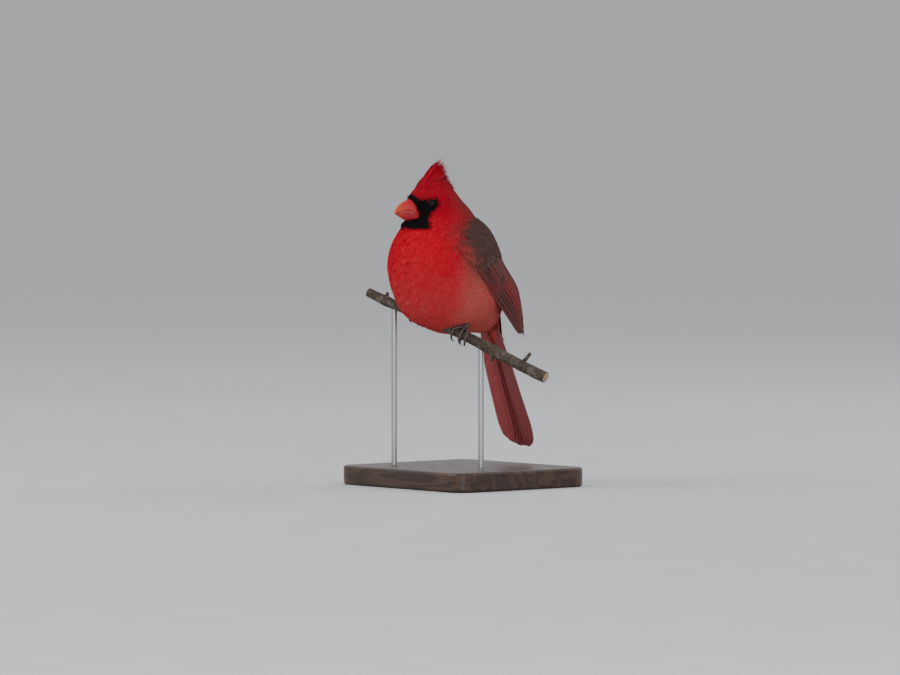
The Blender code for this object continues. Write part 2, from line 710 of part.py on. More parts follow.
def build_head(head, red, horn, dark):
    boolean(head, "UNION", [crest_core(red), eyelid(1, red), eyelid(-1, red)] + crest_vanes(red), "MANIFOLD")
    cutters = [bill_half("cut_upper", True, None, GAP), bill_half("cut_lower", False, None, GAP)]
    for label, side in (("left", 1), ("right", -1)):
        centre, out = eye_places(side)
        smooth(ball(f"eye_{label}", centre, EYE_RADIUS, 7, 13, dark, out))
        cutters.append(ball(f"cut_eye_{label}", centre, EYE_RADIUS + GAP, 7, 13, None, out))
    carve(head, cutters)
    smooth(head)
    bill = bill_half("bill_upper", True, horn)
    for side in (1, -1):
        carve(bill, [ball("nostril", in_head(side * 0.0035, 0.0182, 0.0036), NOSTRIL_RADIUS, 4, 7, None)])
    smooth(bill, 50)
    smooth(bill_half("bill_lower", False, horn), 50)


def build_wings(finish, body):
    for label in ("left", "right"):
        wing = wing_core(finish)
        wing.name = wing.data.name = f"wing_{label}"
        boolean(wing, "UNION", wing_vanes(finish), "MANIFOLD")
        if label == "right":
            middle = Matrix.Translation((float(PERCH_MID[0]), 0, 0))
            wing.data.transform(middle @ Matrix.Diagonal((-1, 1, 1, 1)) @ middle.inverted())
            wing.data.flip_normals()
        carve(wing, [copy_of(body)], "MANIFOLD")
        smooth(wing, 30)


def copy_of(thing):
    made = thing.copy()
    made.data = thing.data.copy()
    return made


TAIL_SHARES = np.array([-0.03, 0.40, 0.88, 0.975, 1.0])
TAIL_WIDTHS = np.array([0.42, 0.92, 1.0, 0.74, 0.3])
COVERT_SHARES = np.array([-0.2, 0.4, 0.8, 1.0])
COVERT_WIDTHS = np.array([0.8, 1.0, 0.85, 0.3])


def tail_vanes(finish):
    """Twelve tail feathers, the middle pair on top and each next one out a step below."""
    pieces = []
    for k in range(12):
        place = (k - 5.5) / 5.5
        spread = (TAIL_WIDTH - TAIL_FEATHER) / 2 * place
        length = TAIL_LENGTH * (1 - 0.05 * abs(place) ** 3)
        side = spread * (0.40 + 0.60 * np.maximum(TAIL_SHARES, 0) ** 0.7)
        sag = -0.004 * TAIL_SHARES * (1 - TAIL_SHARES)
        back = 0.0002 - 0.0019 * abs(place) - 0.0012 * place**2 + sag
        line = np.array([in_tail(*spot) for spot in zip(side, length * TAIL_SHARES, back)])
        out = TAIL_BACK + np.array([0.10 * place, 0, 0])
        pieces.append(curved_vane("rectrix", line, out, TAIL_FEATHER / 2 * TAIL_WIDTHS, finish))
    return pieces


def tail_coverts(finish):
    """The longer coverts over and under the root of the tail."""
    pieces = []
    for face, longest in ((1, 0.030), (-1, 0.036)):
        for k in range(4):
            place = (k - 1.5) / 1.5
            length = longest * (1 - 0.28 * abs(place))
            side = 0.0042 * place * (1 + 0.4 * COVERT_SHARES)
            back = face * (0.0020 - 0.0008 * abs(place)) * (1 - 0.55 * COVERT_SHARES) - 0.0005
            line = np.array([in_tail(*spot) for spot in zip(side, length * COVERT_SHARES, back)])
            out = TAIL_BACK + np.array([0.3 * face * place, 0, 0])
            pieces.append(curved_vane("covert", line, out, TAIL_COVERT_HALF_WIDTH * COVERT_WIDTHS, finish))
    return pieces


def build_tail(finish, body):
    rings = []
    spin = 2 * np.pi * np.arange(10) / 10
    for share, half, thick in ((-0.11, 0.0062, 0.0034), (0.12, 0.0068, 0.0026), (0.26, 0.0062, 0.0014)):
        ring = [in_tail(half * math.cos(a), TAIL_LENGTH * share, thick * math.sin(a) - 0.0006) for a in spin]
        rings.append(np.array(ring))
    tail = new_object("tail", *loft(rings), finish)
    boolean(tail, "UNION", tail_vanes(finish) + tail_coverts(finish), "MANIFOLD")
    carve(tail, [copy_of(body)], "MANIFOLD")
    smooth(tail, 30)


def build_stand(wood, steel):
    """The plain base on the floor and two steel rods up to the branch."""
    base = new_object("stand_base", *rounded_plate(), wood, np.zeros(3))
    bevel = base.modifiers.new("edge", "BEVEL")
    bevel.width, bevel.segments = BASE_BEVEL, 2
    bevel.limit_method, bevel.angle_limit = "ANGLE", math.radians(50)
    smooth(base)
    for index, place in enumerate(ROD_PLACES, 1):
        top = perch_point(place)
        foot = np.array([top[0], top[1], BASE_THICK + GAP - PERCH_MID[2]])
        rod = tube(f"stand_rod_{index}", [foot, (foot + top) / 2, top], [ROD_RADIUS] * 3, 16, steel)
        carve(rod, [perch_tube("cut_perch", None, GAP + 0.0001)])
        smooth(rod)


def rounded_plate():
    width, depth = np.array(BASE_SIZE) / 2 - BASE_CORNER
    outline = []
    for quarter, (sx, sy) in enumerate(((1, 1), (-1, 1), (-1, -1), (1, -1))):
        for step in range(7):
            a = math.pi / 2 * (quarter + step / 6)
            outline.append((sx * width + BASE_CORNER * math.cos(a), sy * depth + BASE_CORNER * math.sin(a)))
    low = [(x, y, 0) for x, y in outline]
    high = [(x, y, BASE_THICK) for x, y in outline]
    count = len(outline)
    faces = [tuple(range(count)), tuple(range(count, 2 * count))]
    faces += [(i, (i + 1) % count, count + (i + 1) % count, count + i) for i in range(count)]
    return np.array(low + high), faces


def cut_pockets(torso):
    """Cuts the places of the feet and of the branch from the belly."""
    pockets = [perch_tube("cut_perch", None, 2 * GAP)]
    for _, distance in FEET:
        pockets += leg_pieces("cut", distance, None, 3.3 * GAP)
        pockets += [claw_piece("cut_claw", distance, toe, None, 2 * GAP) for toe in TOES]
    boolean(pockets[0], "UNION", pockets[1:])
    carve(torso, pockets[:1])


def main():
    remove(list(bpy.data.objects))
    red = material("plumage_red", (0.62, 0.035, 0.025), 0.85)
    wing_red = material("wing_red", (0.30, 0.06, 0.045), 0.7)
    tail_red = material("tail_red", (0.38, 0.04, 0.04), 0.7)
    horn = material("bill_coral", (0.80, 0.16, 0.10), 0.4)
    leg_skin = material("leg_brown", (0.16, 0.09, 0.08), 0.6)
    claw_horn = material("claw_horn", (0.05, 0.04, 0.04), 0.45)
    eye_dark = material("eye_dark", (0.015, 0.008, 0.006), 0.08)
    bark = material("bark", (0.12, 0.09, 0.07), 0.9)
    wood = material("base_wood", (0.10, 0.055, 0.03), 0.45)
    steel = material("rod_steel", (0.45, 0.45, 0.46), 0.3, 1.0)
    torso, neck, head = build_flesh(red)
    body = trunk_piece("cut_body", None, GAP + 0.00015)
    build_head(head, red, horn, eye_dark)
    build_wings(wing_red, body)
    build_tail(tail_red, body)
    remove([body])
    build_legs(leg_skin, claw_horn)
    build_perch(bark)
    build_stand(wood, steel)
    cut_pockets(torso)
    smooth(torso)
    smooth(neck)


main()
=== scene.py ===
import math

import bpy
import numpy as np
from mathutils import Matrix, Vector


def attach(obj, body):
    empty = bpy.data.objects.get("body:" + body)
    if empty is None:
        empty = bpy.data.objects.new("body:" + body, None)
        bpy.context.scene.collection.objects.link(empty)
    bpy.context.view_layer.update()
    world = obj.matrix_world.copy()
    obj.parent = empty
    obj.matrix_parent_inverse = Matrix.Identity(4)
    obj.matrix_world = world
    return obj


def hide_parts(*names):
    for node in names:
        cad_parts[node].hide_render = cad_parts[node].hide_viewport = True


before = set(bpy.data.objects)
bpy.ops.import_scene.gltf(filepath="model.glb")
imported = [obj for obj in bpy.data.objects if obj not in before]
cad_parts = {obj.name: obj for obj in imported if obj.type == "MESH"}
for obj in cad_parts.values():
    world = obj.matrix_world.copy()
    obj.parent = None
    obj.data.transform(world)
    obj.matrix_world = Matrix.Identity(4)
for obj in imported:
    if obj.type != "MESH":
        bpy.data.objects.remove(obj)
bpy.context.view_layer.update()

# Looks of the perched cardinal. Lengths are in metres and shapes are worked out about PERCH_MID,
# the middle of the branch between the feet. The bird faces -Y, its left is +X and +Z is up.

rng = np.random.default_rng(20)

PERCH_MID = np.array([-0.008, -0.018, 0.112])
GAP = 0.0003
BODY_PITCH = 50.0
BODY_LENGTH, BODY_WIDTH, BODY_DEPTH = 0.0892, 0.0770, 0.0754
HEAD_CENTRE = np.array([-0.0005, -0.0010, 0.0790])
HEAD_YAW = -20.0
HEAD_LENGTH, HEAD_WIDTH, HEAD_HEIGHT = 0.0375, 0.0300, 0.0345
EYE_RADIUS, EYE_RISE = 0.0034, 0.0009
TAIL_ROOT = np.array([0.0, 0.0492, 0.0060])
TAIL_LENGTH, TAIL_WIDTH, TAIL_PITCH = 0.100, 0.0315, 70.5
TAIL_FEATHER = 0.0140
PERCH_RADIUS, PERCH_TURN, PERCH_FALL = 0.0034, 20.0, 0.40
PERCH_LEFT, PERCH_RIGHT = -0.056, 0.094
FOOT_SPREAD, FOOT_SHIFT = 0.035, 0.006
BASE_THICK = 0.013
FIELD_SHARPNESS = 9.0
TRUNK_MIDDLE = np.array([0.0, 0.0087, 0.0345])


# Shapes shared with the solids

def turn_about_z(degrees):
    a = math.radians(degrees)
    return np.array([[math.cos(a), -math.sin(a), 0], [math.sin(a), math.cos(a), 0], [0, 0, 1]])


def turn_about_x(degrees):
    a = math.radians(degrees)
    return np.array([[1, 0, 0], [0, math.cos(a), -math.sin(a)], [0, math.sin(a), math.cos(a)]])


def unit(v):
    v = np.asarray(v, float)
    return v / np.maximum(np.linalg.norm(v, axis=-1, keepdims=True), 1e-12)


def ease(value, low, high):
    t = np.clip((np.asarray(value, float) - low) / (high - low), 0, 1)
    return t * t * (3 - 2 * t)


HEAD_TURN = turn_about_z(HEAD_YAW)


def in_head(side, forward, up):
    """A point given from the middle of the head: to the bird's left, forward and up."""
    return HEAD_CENTRE + HEAD_TURN @ np.array([side, -forward, up])


def lobe(centre, width, length, height, pitch=0.0, yaw=0.0):
    axes = turn_about_z(yaw) @ turn_about_x(-pitch)
    shrink = np.diag([2 / width, 2 / length, 2 / height]) @ axes.T
    return np.asarray(centre, float), shrink


LOBES = [
    lobe((0, 0.0093, 0.0330), BODY_WIDTH, BODY_LENGTH, BODY_DEPTH, BODY_PITCH),
    lobe((-0.002, -0.0055, 0.0166), 0.0413, 0.0334, 0.0342),
    lobe((0.0, 0.0330, 0.0165), 0.042, 0.050, 0.034, 62.0),
    lobe((0.0, 0.0175, 0.0527), 0.0509, 0.0474, 0.0414, 30.0),
    lobe((0.0, 0.0096, 0.0689), 0.0369, 0.0363, 0.0317),
    lobe((-0.001, 0.0043, 0.0628), 0.0420, 0.0373, 0.0356),
    lobe(HEAD_CENTRE, HEAD_WIDTH, HEAD_LENGTH, HEAD_HEIGHT, yaw=HEAD_YAW),
    lobe(in_head(0, 0.0138, -0.0108), 0.0160, 0.0180, 0.0145, yaw=HEAD_YAW),
]
BILL_HOLLOW = lobe(in_head(0, 0.0217, -0.0034), 0.0208, 0.0315, 0.0148, 12.0, HEAD_YAW)


def field(points):
    """Above 1 inside the body, 1 on its outline."""
    total = np.zeros(len(points))
    for centre, shrink in LOBES:
        q = np.linalg.norm((points - centre) @ shrink.T, axis=1)
        total += np.exp(FIELD_SHARPNESS * (1 - q))
    centre, shrink = BILL_HOLLOW
    q = np.linalg.norm((points - centre) @ shrink.T, axis=1)
    return total - 2.0 * np.exp(FIELD_SHARPNESS * (1 - q))


def field_normals(points, step=0.0002):
    shape = points.shape
    points = points.reshape(-1, 3)
    grad = [field(points - step * e) - field(points + step * e) for e in np.eye(3)]
    return unit(np.stack(grad, axis=1)).reshape(shape)


def reach(centres, directions, longest=0.075):
    """The points where rays leave the body."""
    centres = np.broadcast_to(centres, directions.shape)
    steps = np.linspace(0.002, longest, 80)
    low = np.zeros(len(directions))
    high = np.full(len(directions), longest)
    found = np.zeros(len(directions), bool)
    for near, far in zip(steps[:-1], steps[1:]):
        outside = field(centres + directions * far) < 1
        fresh = outside & ~found
        low[fresh], high[fresh] = near, far
        found |= outside
    for _ in range(20):
        middle = (low + high) / 2
        inside = field(centres + directions * middle[:, None]) > 1
        low, high = np.where(inside, middle, low), np.where(inside, high, middle)
    return centres + directions * low[:, None]


def through(knots, count):
    """count points on a smooth curve through the knots."""
    knots = np.asarray(knots, float)
    padded = np.vstack([2 * knots[0] - knots[1], knots, 2 * knots[-1] - knots[-2]])
    place = np.linspace(0, len(knots) - 1, count)
    piece = np.minimum(place.astype(int), len(knots) - 2)
    t = (place - piece)[:, None]
    a, b, c, d = (padded[piece + k] for k in range(4))
    curve = 2 * b + (c - a) * t + (2 * a - 5 * b + 4 * c - d) * t**2 + (3 * b - a - 3 * c + d) * t**3
    return curve / 2


def sample(grid, i, j, wrap):
    """Values between the points of a grid, at rows i and columns j. wrap joins the last column to the first."""
    rows, columns = grid.shape[:2]
    i = np.clip(i, 0, rows - 1.0001)
    a = i.astype(int)
    if wrap:
        j = np.mod(j, columns)
        b = j.astype(int) % columns
        c = (b + 1) % columns
        v = j - np.floor(j)
    else:
        j = np.clip(j, 0, columns - 1.0001)
        b = j.astype(int)
        c = b + 1
        v = j - b
    u, v = (i - a)[..., None], v[..., None]
    near = grid[a, b] * (1 - v) + grid[a, c] * v
    far = grid[a + 1, b] * (1 - v) + grid[a + 1, c] * v
    return near * (1 - u) + far * u


# The body's outline as a grid: s runs from bill to tail and theta from the back over the left side

BODY_ROWS, BODY_SIDES = 141, 112


def body_grid():
    """Outer surface and its normals. The way from bill to tail shapes the rings but is not returned."""
    keys = np.array([0.0, 0.10, 0.20, 0.34, 0.56, 0.80, 1.0])
    middle = np.array([in_head(0, 0.0, -0.0075), in_head(0, 0.0, -0.0075), (-0.0005, -0.0005, 0.0680),
                       (0, 0.0050, 0.0550), TRUNK_MIDDLE, (0, 0.0260, 0.0230), (0, 0.0300, 0.0200)])
    ahead = np.array([HEAD_TURN @ [0, -1, 0.0], HEAD_TURN @ [0, -0.8, 0.6], (0, -0.35, 0.94), (0, -0.35, 0.94),
                      (0, -0.643, 0.766), (0, -0.40, 0.92), (0, -0.334, 0.943)])
    open_angle = np.array([7.0, 60.0, 90.0, 90.0, 90.0, 108.0, 172.0])
    s = np.linspace(0, 1, BODY_ROWS)
    middle = np.stack([np.interp(s, keys, middle[:, k]) for k in range(3)], axis=1)
    ahead = unit(np.stack([np.interp(s, keys, ahead[:, k]) for k in range(3)], axis=1))
    angle = np.radians(np.interp(s, keys, open_angle))
    for _ in range(6):
        middle[1:-1] = (middle[:-2] + middle[1:-1] * 2 + middle[2:]) / 4
        ahead[1:-1] = unit(ahead[:-2] + ahead[1:-1] * 2 + ahead[2:])
    left = unit(np.cross(ahead, [0, 0, 1.0]))
    left *= np.sign(left[:, :1])
    back = np.cross(left, ahead) * -1
    back *= np.where(back[:, 2:] < 0, -1, 1)
    theta = 2 * np.pi * np.arange(BODY_SIDES) / BODY_SIDES
    radial = back[:, None] * np.cos(theta)[:, None] + left[:, None] * np.sin(theta)[:, None]
    ways = unit(ahead[:, None] * np.cos(angle)[:, None, None] + radial * np.sin(angle)[:, None, None])
    centres = np.broadcast_to(middle[:, None], ways.shape)
    points = reach(centres.reshape(-1, 3), ways.reshape(-1, 3)).reshape(ways.shape)
    return points, field_normals(points)


BODY, BODY_NORMAL = body_grid()


def head_local(points):
    """Side, forward and up of points, seen from the middle of the head."""
    local = (points - HEAD_CENTRE) @ HEAD_TURN
    return local * [1, -1, 1]


def coat_depth(points):
    """How far the coat stands off the skin: thin on the face, deep on the fluffed trunk."""
    local = head_local(points)
    face = np.exp(-(((local - [0, 0.0120, -0.0020]) / [0.020, 0.017, 0.017]) ** 2).sum(-1))
    return 0.0027 - 0.0020 * np.clip(face * 1.3, 0, 1)


BODY_DEPTHS = coat_depth(BODY)[..., None]


# Markings, each from 0 to 1, as formulas of the place on the bird

MASK_TOP = ([0.0010, 0.0060, 0.0115, 0.0140, 0.0165, 0.0240], [0.0050, 0.0056, 0.0046, 0.0058, 0.0088, 0.0120])
MASK_REAR = (
    [-0.0170, -0.0153, -0.0129, -0.0091, -0.0039, -0.0012, 0.0010, 0.0045],
    [0.0105, 0.0100, 0.0090, 0.0087, 0.0068, 0.0030, 0.0018, 0.0016],
)
MASK_BOTTOM = -0.0155
# How far back the red reaches on the shoulders and the nape, by height
MANTLE_EDGE = ([0.0300, 0.0350, 0.0460, 0.0560, 0.0625, 0.0755, 0.0850], [0.0080, 0.0050, 0.0012, -0.0024, -0.0014, 0.0200, 0.0330])


def mask_weight(points):
    """The black face: over the bill, from there round the eye, behind the bill and down to a bib."""
    local = head_local(points)
    forward, up = local[..., 1], local[..., 2]
    below_top = ease(np.interp(forward, *MASK_TOP) - up, -0.0004, 0.0004)
    before_rear = ease(forward - np.interp(up, *MASK_REAR), -0.0005, 0.0005)
    return below_top * before_rear * ease(up - MASK_BOTTOM, -0.0006, 0.0006)


def grey_weight(points, normals):
    """The grey-brown of the mantle and rump, which thins out up the nape."""
    y, z = points[..., 1], points[..., 2]
    behind = ease(y - np.interp(z, *MANTLE_EDGE), -0.0050, 0.0065) * ease(normals[..., 2], -0.02, 0.22)
    faint = 0.50 * ease(y - np.interp(z, *MANTLE_EDGE), -0.0165, 0.0) * ease(normals[..., 2], -0.4, 0.1)
    nape = 0.54 * ease(y, -0.004, 0.018) * ease(z, 0.056, 0.068) * (1 - ease(z, 0.090, 0.106))
    return np.maximum(np.maximum(behind, faint), nape)


def pale_weight(points, normals):
    """The paler, greyer red of belly and flanks."""
    low = 1 - ease(points[..., 2], -0.006, 0.056)
    flank = ease(points[..., 1] + 0.45 * np.abs(points[..., 0]), 0.002, 0.024) * (1 - ease(points[..., 2], 0.046, 0.064))
    return np.clip(0.50 * low + 0.85 * flank, 0, 1)


# Materials

def material(name, rough=0.6, **sockets):
    made = bpy.data.materials.new(name)
    made.use_nodes = True
    shader = made.node_tree.nodes["Principled BSDF"]
    shader.inputs["Roughness"].default_value = rough
    for key, value in sockets.items():
        shader.inputs[key.replace("_", " ")].default_value = value
    return made


class Nodes:
    """Short ways to add shader nodes to a material."""

    def __init__(self, made):
        self.tree = made.node_tree
        self.shader = self.tree.nodes["Principled BSDF"]

    def add(self, kind, settings=None, **inputs):
        node = self.tree.nodes.new(kind)
        for key, value in (settings or {}).items():
            setattr(node, key, value)
        for key, value in inputs.items():
            self.set(node.inputs[key.replace("_", " ")], value)
        return node

    def set(self, socket, value):
        if isinstance(value, bpy.types.NodeSocket):
            self.tree.links.new(value, socket)
        else:
            socket.default_value = value

    def math(self, operation, a, b=0.5, c=0.5):
        node = self.tree.nodes.new("ShaderNodeMath")
        node.operation = operation
        for socket, value in zip(node.inputs, (a, b, c)):
            self.set(socket, value)
        return node.outputs[0]

    def mix(self, share, a, b, blend="MIX"):
        node = self.tree.nodes.new("ShaderNodeMix")
        node.data_type, node.blend_type = "RGBA", blend
        self.set(node.inputs["Factor"], share)
        for socket, value in ((node.inputs[6], a), (node.inputs[7], b)):
            self.set(socket, (*value, 1) if isinstance(value, tuple) and len(value) == 3 else value)
        return node.outputs[2]

    def attribute(self, name):
        """The three numbers kept on a mesh under this name."""
        node = self.add("ShaderNodeAttribute", {"attribute_name": name})
        split = self.add("ShaderNodeSeparateColor", Color=node.outputs["Color"])
        return split.outputs[0], split.outputs[1], split.outputs[2]

    def place(self, scale=(1, 1, 1)):
        """The object's own coordinates, stretched."""
        where = self.add("ShaderNodeTexCoord").outputs["Object"]
        return self.add("ShaderNodeMapping", Vector=where, Scale=scale).outputs[0]

    def noise(self, where, scale, detail=2.0, rough=0.5):
        node = self.add("ShaderNodeTexNoise", Vector=where, Scale=scale, Detail=detail, Roughness=rough)
        return node.outputs[0]

    def band(self, value, low, high, to_low=0.0, to_high=1.0):
        node = self.add("ShaderNodeMapRange", {"interpolation_type": "SMOOTHSTEP"}, Value=value)
        for k, number in enumerate((low, high, to_low, to_high), 1):
            node.inputs[k].default_value = number
        return node.outputs[0]

    def bump(self, height, strength, distance):
        node = self.add("ShaderNodeBump", Height=height, Strength=strength, Distance=distance)
        self.tree.links.new(node.outputs[0], self.shader.inputs["Normal"])

    def colour(self, value):
        self.tree.links.new(value, self.shader.inputs["Base Color"])

    def rough(self, value):
        self.tree.links.new(value, self.shader.inputs["Roughness"])


BREAST_RED = (0.53, 0.003, 0.019)
CROWN_RED = (0.35, 0.007, 0.018)
BELLY_RED = (0.47, 0.086, 0.074)
BACK_GREY, BACK_TIP = (0.075, 0.042, 0.035), (0.098, 0.052, 0.043)
MASK_BLACK = (0.006, 0.005, 0.005)


def plumage_material(name, tip_light=1.0):
    """Soft body feathers. zone holds the mask, grey and pale weights, lay the place along and across a feather
    and a number of its own, and hue how much of the crown's darker red it has."""
    made = material(name, 0.9, Specular_IOR_Level=0.06)
    n = Nodes(made)
    mask, grey, pale = n.attribute("zone")
    along, across, own = n.attribute("lay")
    crown, _, _ = n.attribute("hue")
    red = n.mix(crown, BREAST_RED, CROWN_RED)
    red = n.mix(pale, red, BELLY_RED)
    back = n.mix(n.band(along, 0.55, 0.95), BACK_GREY, BACK_TIP)
    whole = n.mix(grey, red, back)
    whole = n.mix(mask, whole, MASK_BLACK)
    shade = n.math("ADD", n.math("MULTIPLY", own, 0.12), 0.93)
    streaks = n.noise(n.place((1, 1, 1)), 700.0, 2.0)
    shade = n.math("MULTIPLY", shade, n.band(streaks, 0.3, 0.7, 0.95, 1.04))
    # Painted shade: each feather darkens towards its root, where it lies under the feathers over it.
    root = n.band(along, 0.0, 0.7, 0.72, tip_light)
    shade = n.math("MULTIPLY", shade, root)
    whole = n.mix(1.0, whole, n.add("ShaderNodeCombineColor", Red=shade, Green=shade, Blue=shade).outputs[0], "MULTIPLY")
    n.colour(whole)
    return made


# Meshes from arrays

def mesh_object(name, points, faces, finish, attributes=None, maps=None, smooth=True, normals=None):
    """An object that rides on the bird. faces holds rows of corners, and normals the ways to shade its points."""
    mesh = bpy.data.meshes.new(name)
    faces = np.asarray(faces, np.int32)
    points = (np.asarray(points) + PERCH_MID).astype(np.float32)
    sides = faces.shape[1]
    mesh.vertices.add(len(points))
    mesh.vertices.foreach_set("co", points.ravel())
    mesh.loops.add(faces.size)
    mesh.loops.foreach_set("vertex_index", faces.ravel())
    mesh.polygons.add(len(faces))
    mesh.polygons.foreach_set("loop_start", np.arange(0, faces.size, sides, dtype=np.int32))
    mesh.polygons.foreach_set("loop_total", np.full(len(faces), sides, np.int32))
    mesh.polygons.foreach_set("use_smooth", np.full(len(faces), smooth))
    mesh.update(calc_edges=True)
    for key, values in (attributes or {}).items():
        layer = mesh.attributes.new(key, "FLOAT_COLOR", "POINT")
        values = np.column_stack([values, np.ones(len(values))]).astype(np.float32)
        layer.data.foreach_set("color", values.ravel())
    for key, values in (maps or {}).items():
        layer = mesh.uv_layers.new(name=key)
        layer.data.foreach_set("uv", values[faces.ravel()].astype(np.float32).ravel())
    if normals is not None:
        mesh.normals_split_custom_set(corner_normals(points, faces, normals))
    mesh.materials.append(finish)
    made = bpy.data.objects.new(name, mesh)
    bpy.context.scene.collection.objects.link(made)
    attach(made, "root")
    return made


def corner_normals(points, faces, normals):
    """The normals of triangles' corners, turned round on the faces that look the other way."""
    a, b, c = (points[faces[:, k]] for k in range(3))
    flat = np.cross(b - a, c - a)
    corners = normals[faces]
    away = (corners * flat[:, None]).sum(-1, keepdims=True) < 0
    return np.where(away, -corners, corners).reshape(-1, 3).astype(np.float32)


def tube_parts(line, radii, sides, flat=1.0, across=(0.13, 0.91, 0.39)):
    """Points and quads of a round closed tube along a line."""
    line = np.asarray(line, float)
    along = unit(np.gradient(line, axis=0))
    side = unit(np.cross(along[0], across))
    spin = 2 * np.pi * np.arange(sides) / sides
    rings = []
    for point, way, radius in zip(line, along, radii):
        side = unit(side - way * (side @ way))
        third = np.cross(way, side)
        rings.append(point + radius * (np.cos(spin)[:, None] * side + flat * np.sin(spin)[:, None] * third))
    points = [line[0]] + list(np.vstack(rings)) + [line[-1]]
    return np.array(points), tube_faces(len(line), sides)


def tube_faces(rows, sides, start=1):
    """Triangles of a closed tube: a point, rows rings of sides points, and a last point."""
    faces, last = [], start + rows * sides
    for j in range(sides):
        k = (j + 1) % sides
        for r in range(rows - 1):
            a, b = start + r * sides, start + (r + 1) * sides
            faces += [(a + j, a + k, b + k), (a + j, b + k, b + j)]
        faces.append((start - 1, start + k, start + j))
        faces.append((last, last - sides + j, last - sides + k))
    return faces


# Feathers: templates of points along (v), across (u) and off the surface (z, in metres), and their triangles

def prism(rows, tip, start):
    """A long solid of three sides through rows of (v, u middle, half width, height, thickness), closed by a tip."""
    points, faces = [], []
    for v, u, half, z, thick in rows:
        points += [(v, u - half, z), (v, u + half, z), (v, u, z + thick)]
    points.append(tip)
    faces.append((start, start + 1, start + 2))
    for r in range(len(rows) - 1):
        a, b = start + 3 * r, start + 3 * r + 3
        for j in range(3):
            k = (j + 1) % 3
            faces += [(a + j, b + k, a + k), (a + j, b + j, b + k)]
    a, end = start + 3 * (len(rows) - 1), start + len(points) - 1
    faces += [(a + j, end, a + (j + 1) % 3) for j in range(3)]
    return points, faces


def feather_template(random, locks=6, spread=1.0, base_end=0.80, base_half=0.95):
    """A soft feather: a close vane below and slender locks of barbs that fray past it."""
    rows = [(0.0, 0, 0.30, 0, 0.00010), (0.30, 0, 0.82, 0, 0.00010), (0.58, 0, base_half, 0, 0.00008)]
    points, faces = prism(rows, (base_end, 0, 0.00004), 0)
    for k in range(locks):
        place = (k + 0.5) / locks * 2 - 1 + random.uniform(-0.10, 0.10)
        reach_out = 1.0 - 0.22 * abs(place) ** 1.6 + random.uniform(-0.07, 0.07)
        lift = 0.00005 + random.uniform(0, 0.00010)
        curl = random.uniform(-0.00008, 0.00016)
        sway = random.uniform(-0.10, 0.10)
        wide = 1.10 / locks * random.uniform(0.9, 1.15)
        end = reach_out - 0.26
        rows = [
            (0.20, place * 0.55, wide * 0.30, -0.00002, 0.00006),
            (0.26 + end * 0.5, place * 0.95 * spread, wide * 0.95, lift, 0.00008),
            (0.26 + end * 0.8, (place * 1.04 + sway * 0.5) * spread, wide * 0.58, lift + curl * 0.4, 0.00006),
        ]
        tip = (reach_out, (place * 1.08 + sway) * spread, lift + curl)
        more, sides = prism(rows, tip, len(points))
        points += more
        faces += sides
    return np.array(points), np.array(faces)


def place_feathers(centre, across, normal, soft, half, template, stations):
    """Puts one template on many centre lines. centre, across, normal and soft, the ways to shade them, are
    (count, stations, 3)."""
    points, faces = template
    v = np.clip(points[:, 0], stations[0], stations[-1])
    piece = np.clip(np.searchsorted(stations, v, side="right") - 1, 0, len(stations) - 2)
    share = ((v - stations[piece]) / (stations[piece + 1] - stations[piece]))[None, :, None]
    over = (points[:, 0] - v)[None, :, None] * np.linalg.norm(centre[:, -1] - centre[:, -2], axis=-1)[:, None, None]
    over = over / (stations[-1] - stations[-2])

    def between(values):
        return values[:, piece] * (1 - share) + values[:, piece + 1] * share

    ahead = unit(centre[:, -1] - centre[:, -2])[:, None]
    where = between(centre) + ahead * over
    side, out = unit(between(across)), unit(between(normal))
    where = where + side * (points[:, 1][None, :, None] * half[:, None, None]) + out * points[:, 2][None, :, None]
    count = len(centre)
    tris = faces[None] + (np.arange(count) * len(points))[:, None, None]
    shade = unit(between(soft) + side * (points[:, 1][None, :, None] * FEATHER_ROUND))
    return where.reshape(-1, 3), tris.reshape(-1, 3), shade.reshape(-1, 3)


FEATHER_ROUND = 0.16
TEMPLATES = [feather_template(rng, locks) for locks in (6, 6, 7, 7)]
STATIONS = np.array([0.0, 0.25, 0.5, 0.75, 1.0])


def bake_map(root_uv, template):
    """A patch about 0.003 across for each feather, at its root's place on the unwrapped body."""
    patch = np.stack([template[:, 1] / 2, template[:, 0] - 0.5], axis=1) * 0.003
    return (root_uv[:, None] + patch[None]).reshape(-1, 2)


def stack(parts):
    """Joins lists of (points, triangles, normals, zone, lay, hue, uv) to one of each."""
    offset, faces = 0, []
    for part in parts:
        faces.append(part[1] + offset)
        offset += len(part[0])
    joined = [np.concatenate([part[k] for part in parts]) for k in (0, 2, 3, 4, 5, 6)]
    return joined[0], np.concatenate(faces), *joined[1:]


def spread_roots(count, random):
    """Roots all over the body, closer where feathers are smaller, as rows and sides of the body's grid."""
    down = np.diff(BODY, axis=0)
    across = np.roll(BODY, -1, axis=1) - BODY
    area = np.linalg.norm(np.cross(down, across[:-1]), axis=-1)
    middle = (BODY[:-1] + np.roll(BODY, -1, axis=1)[1:]) / 2
    weight = area / feather_size(middle) ** 1.5
    running = np.cumsum(weight.ravel())
    pick = np.searchsorted(running, (np.arange(count) + random.uniform(0, 1, count)) / count * running[-1])
    pick = np.minimum(pick, weight.size - 1)
    i, j = np.divmod(pick, BODY_SIDES)
    return i + random.uniform(0, 1, count), j + random.uniform(0, 1, count)


def feather_size(points):
    """Length of the body feathers: a few millimetres on the face, over a centimetre on the flanks."""
    local = head_local(points)
    face = np.exp(-(((local - [0, 0.0140, -0.0030]) / [0.015, 0.012, 0.015]) ** 2).sum(-1))
    head = ease(points[..., 2], 0.050, 0.076)
    length = 0.0135 - 0.0060 * head
    return length - (length - 0.0030) * np.clip(face * 1.35, 0, 1)


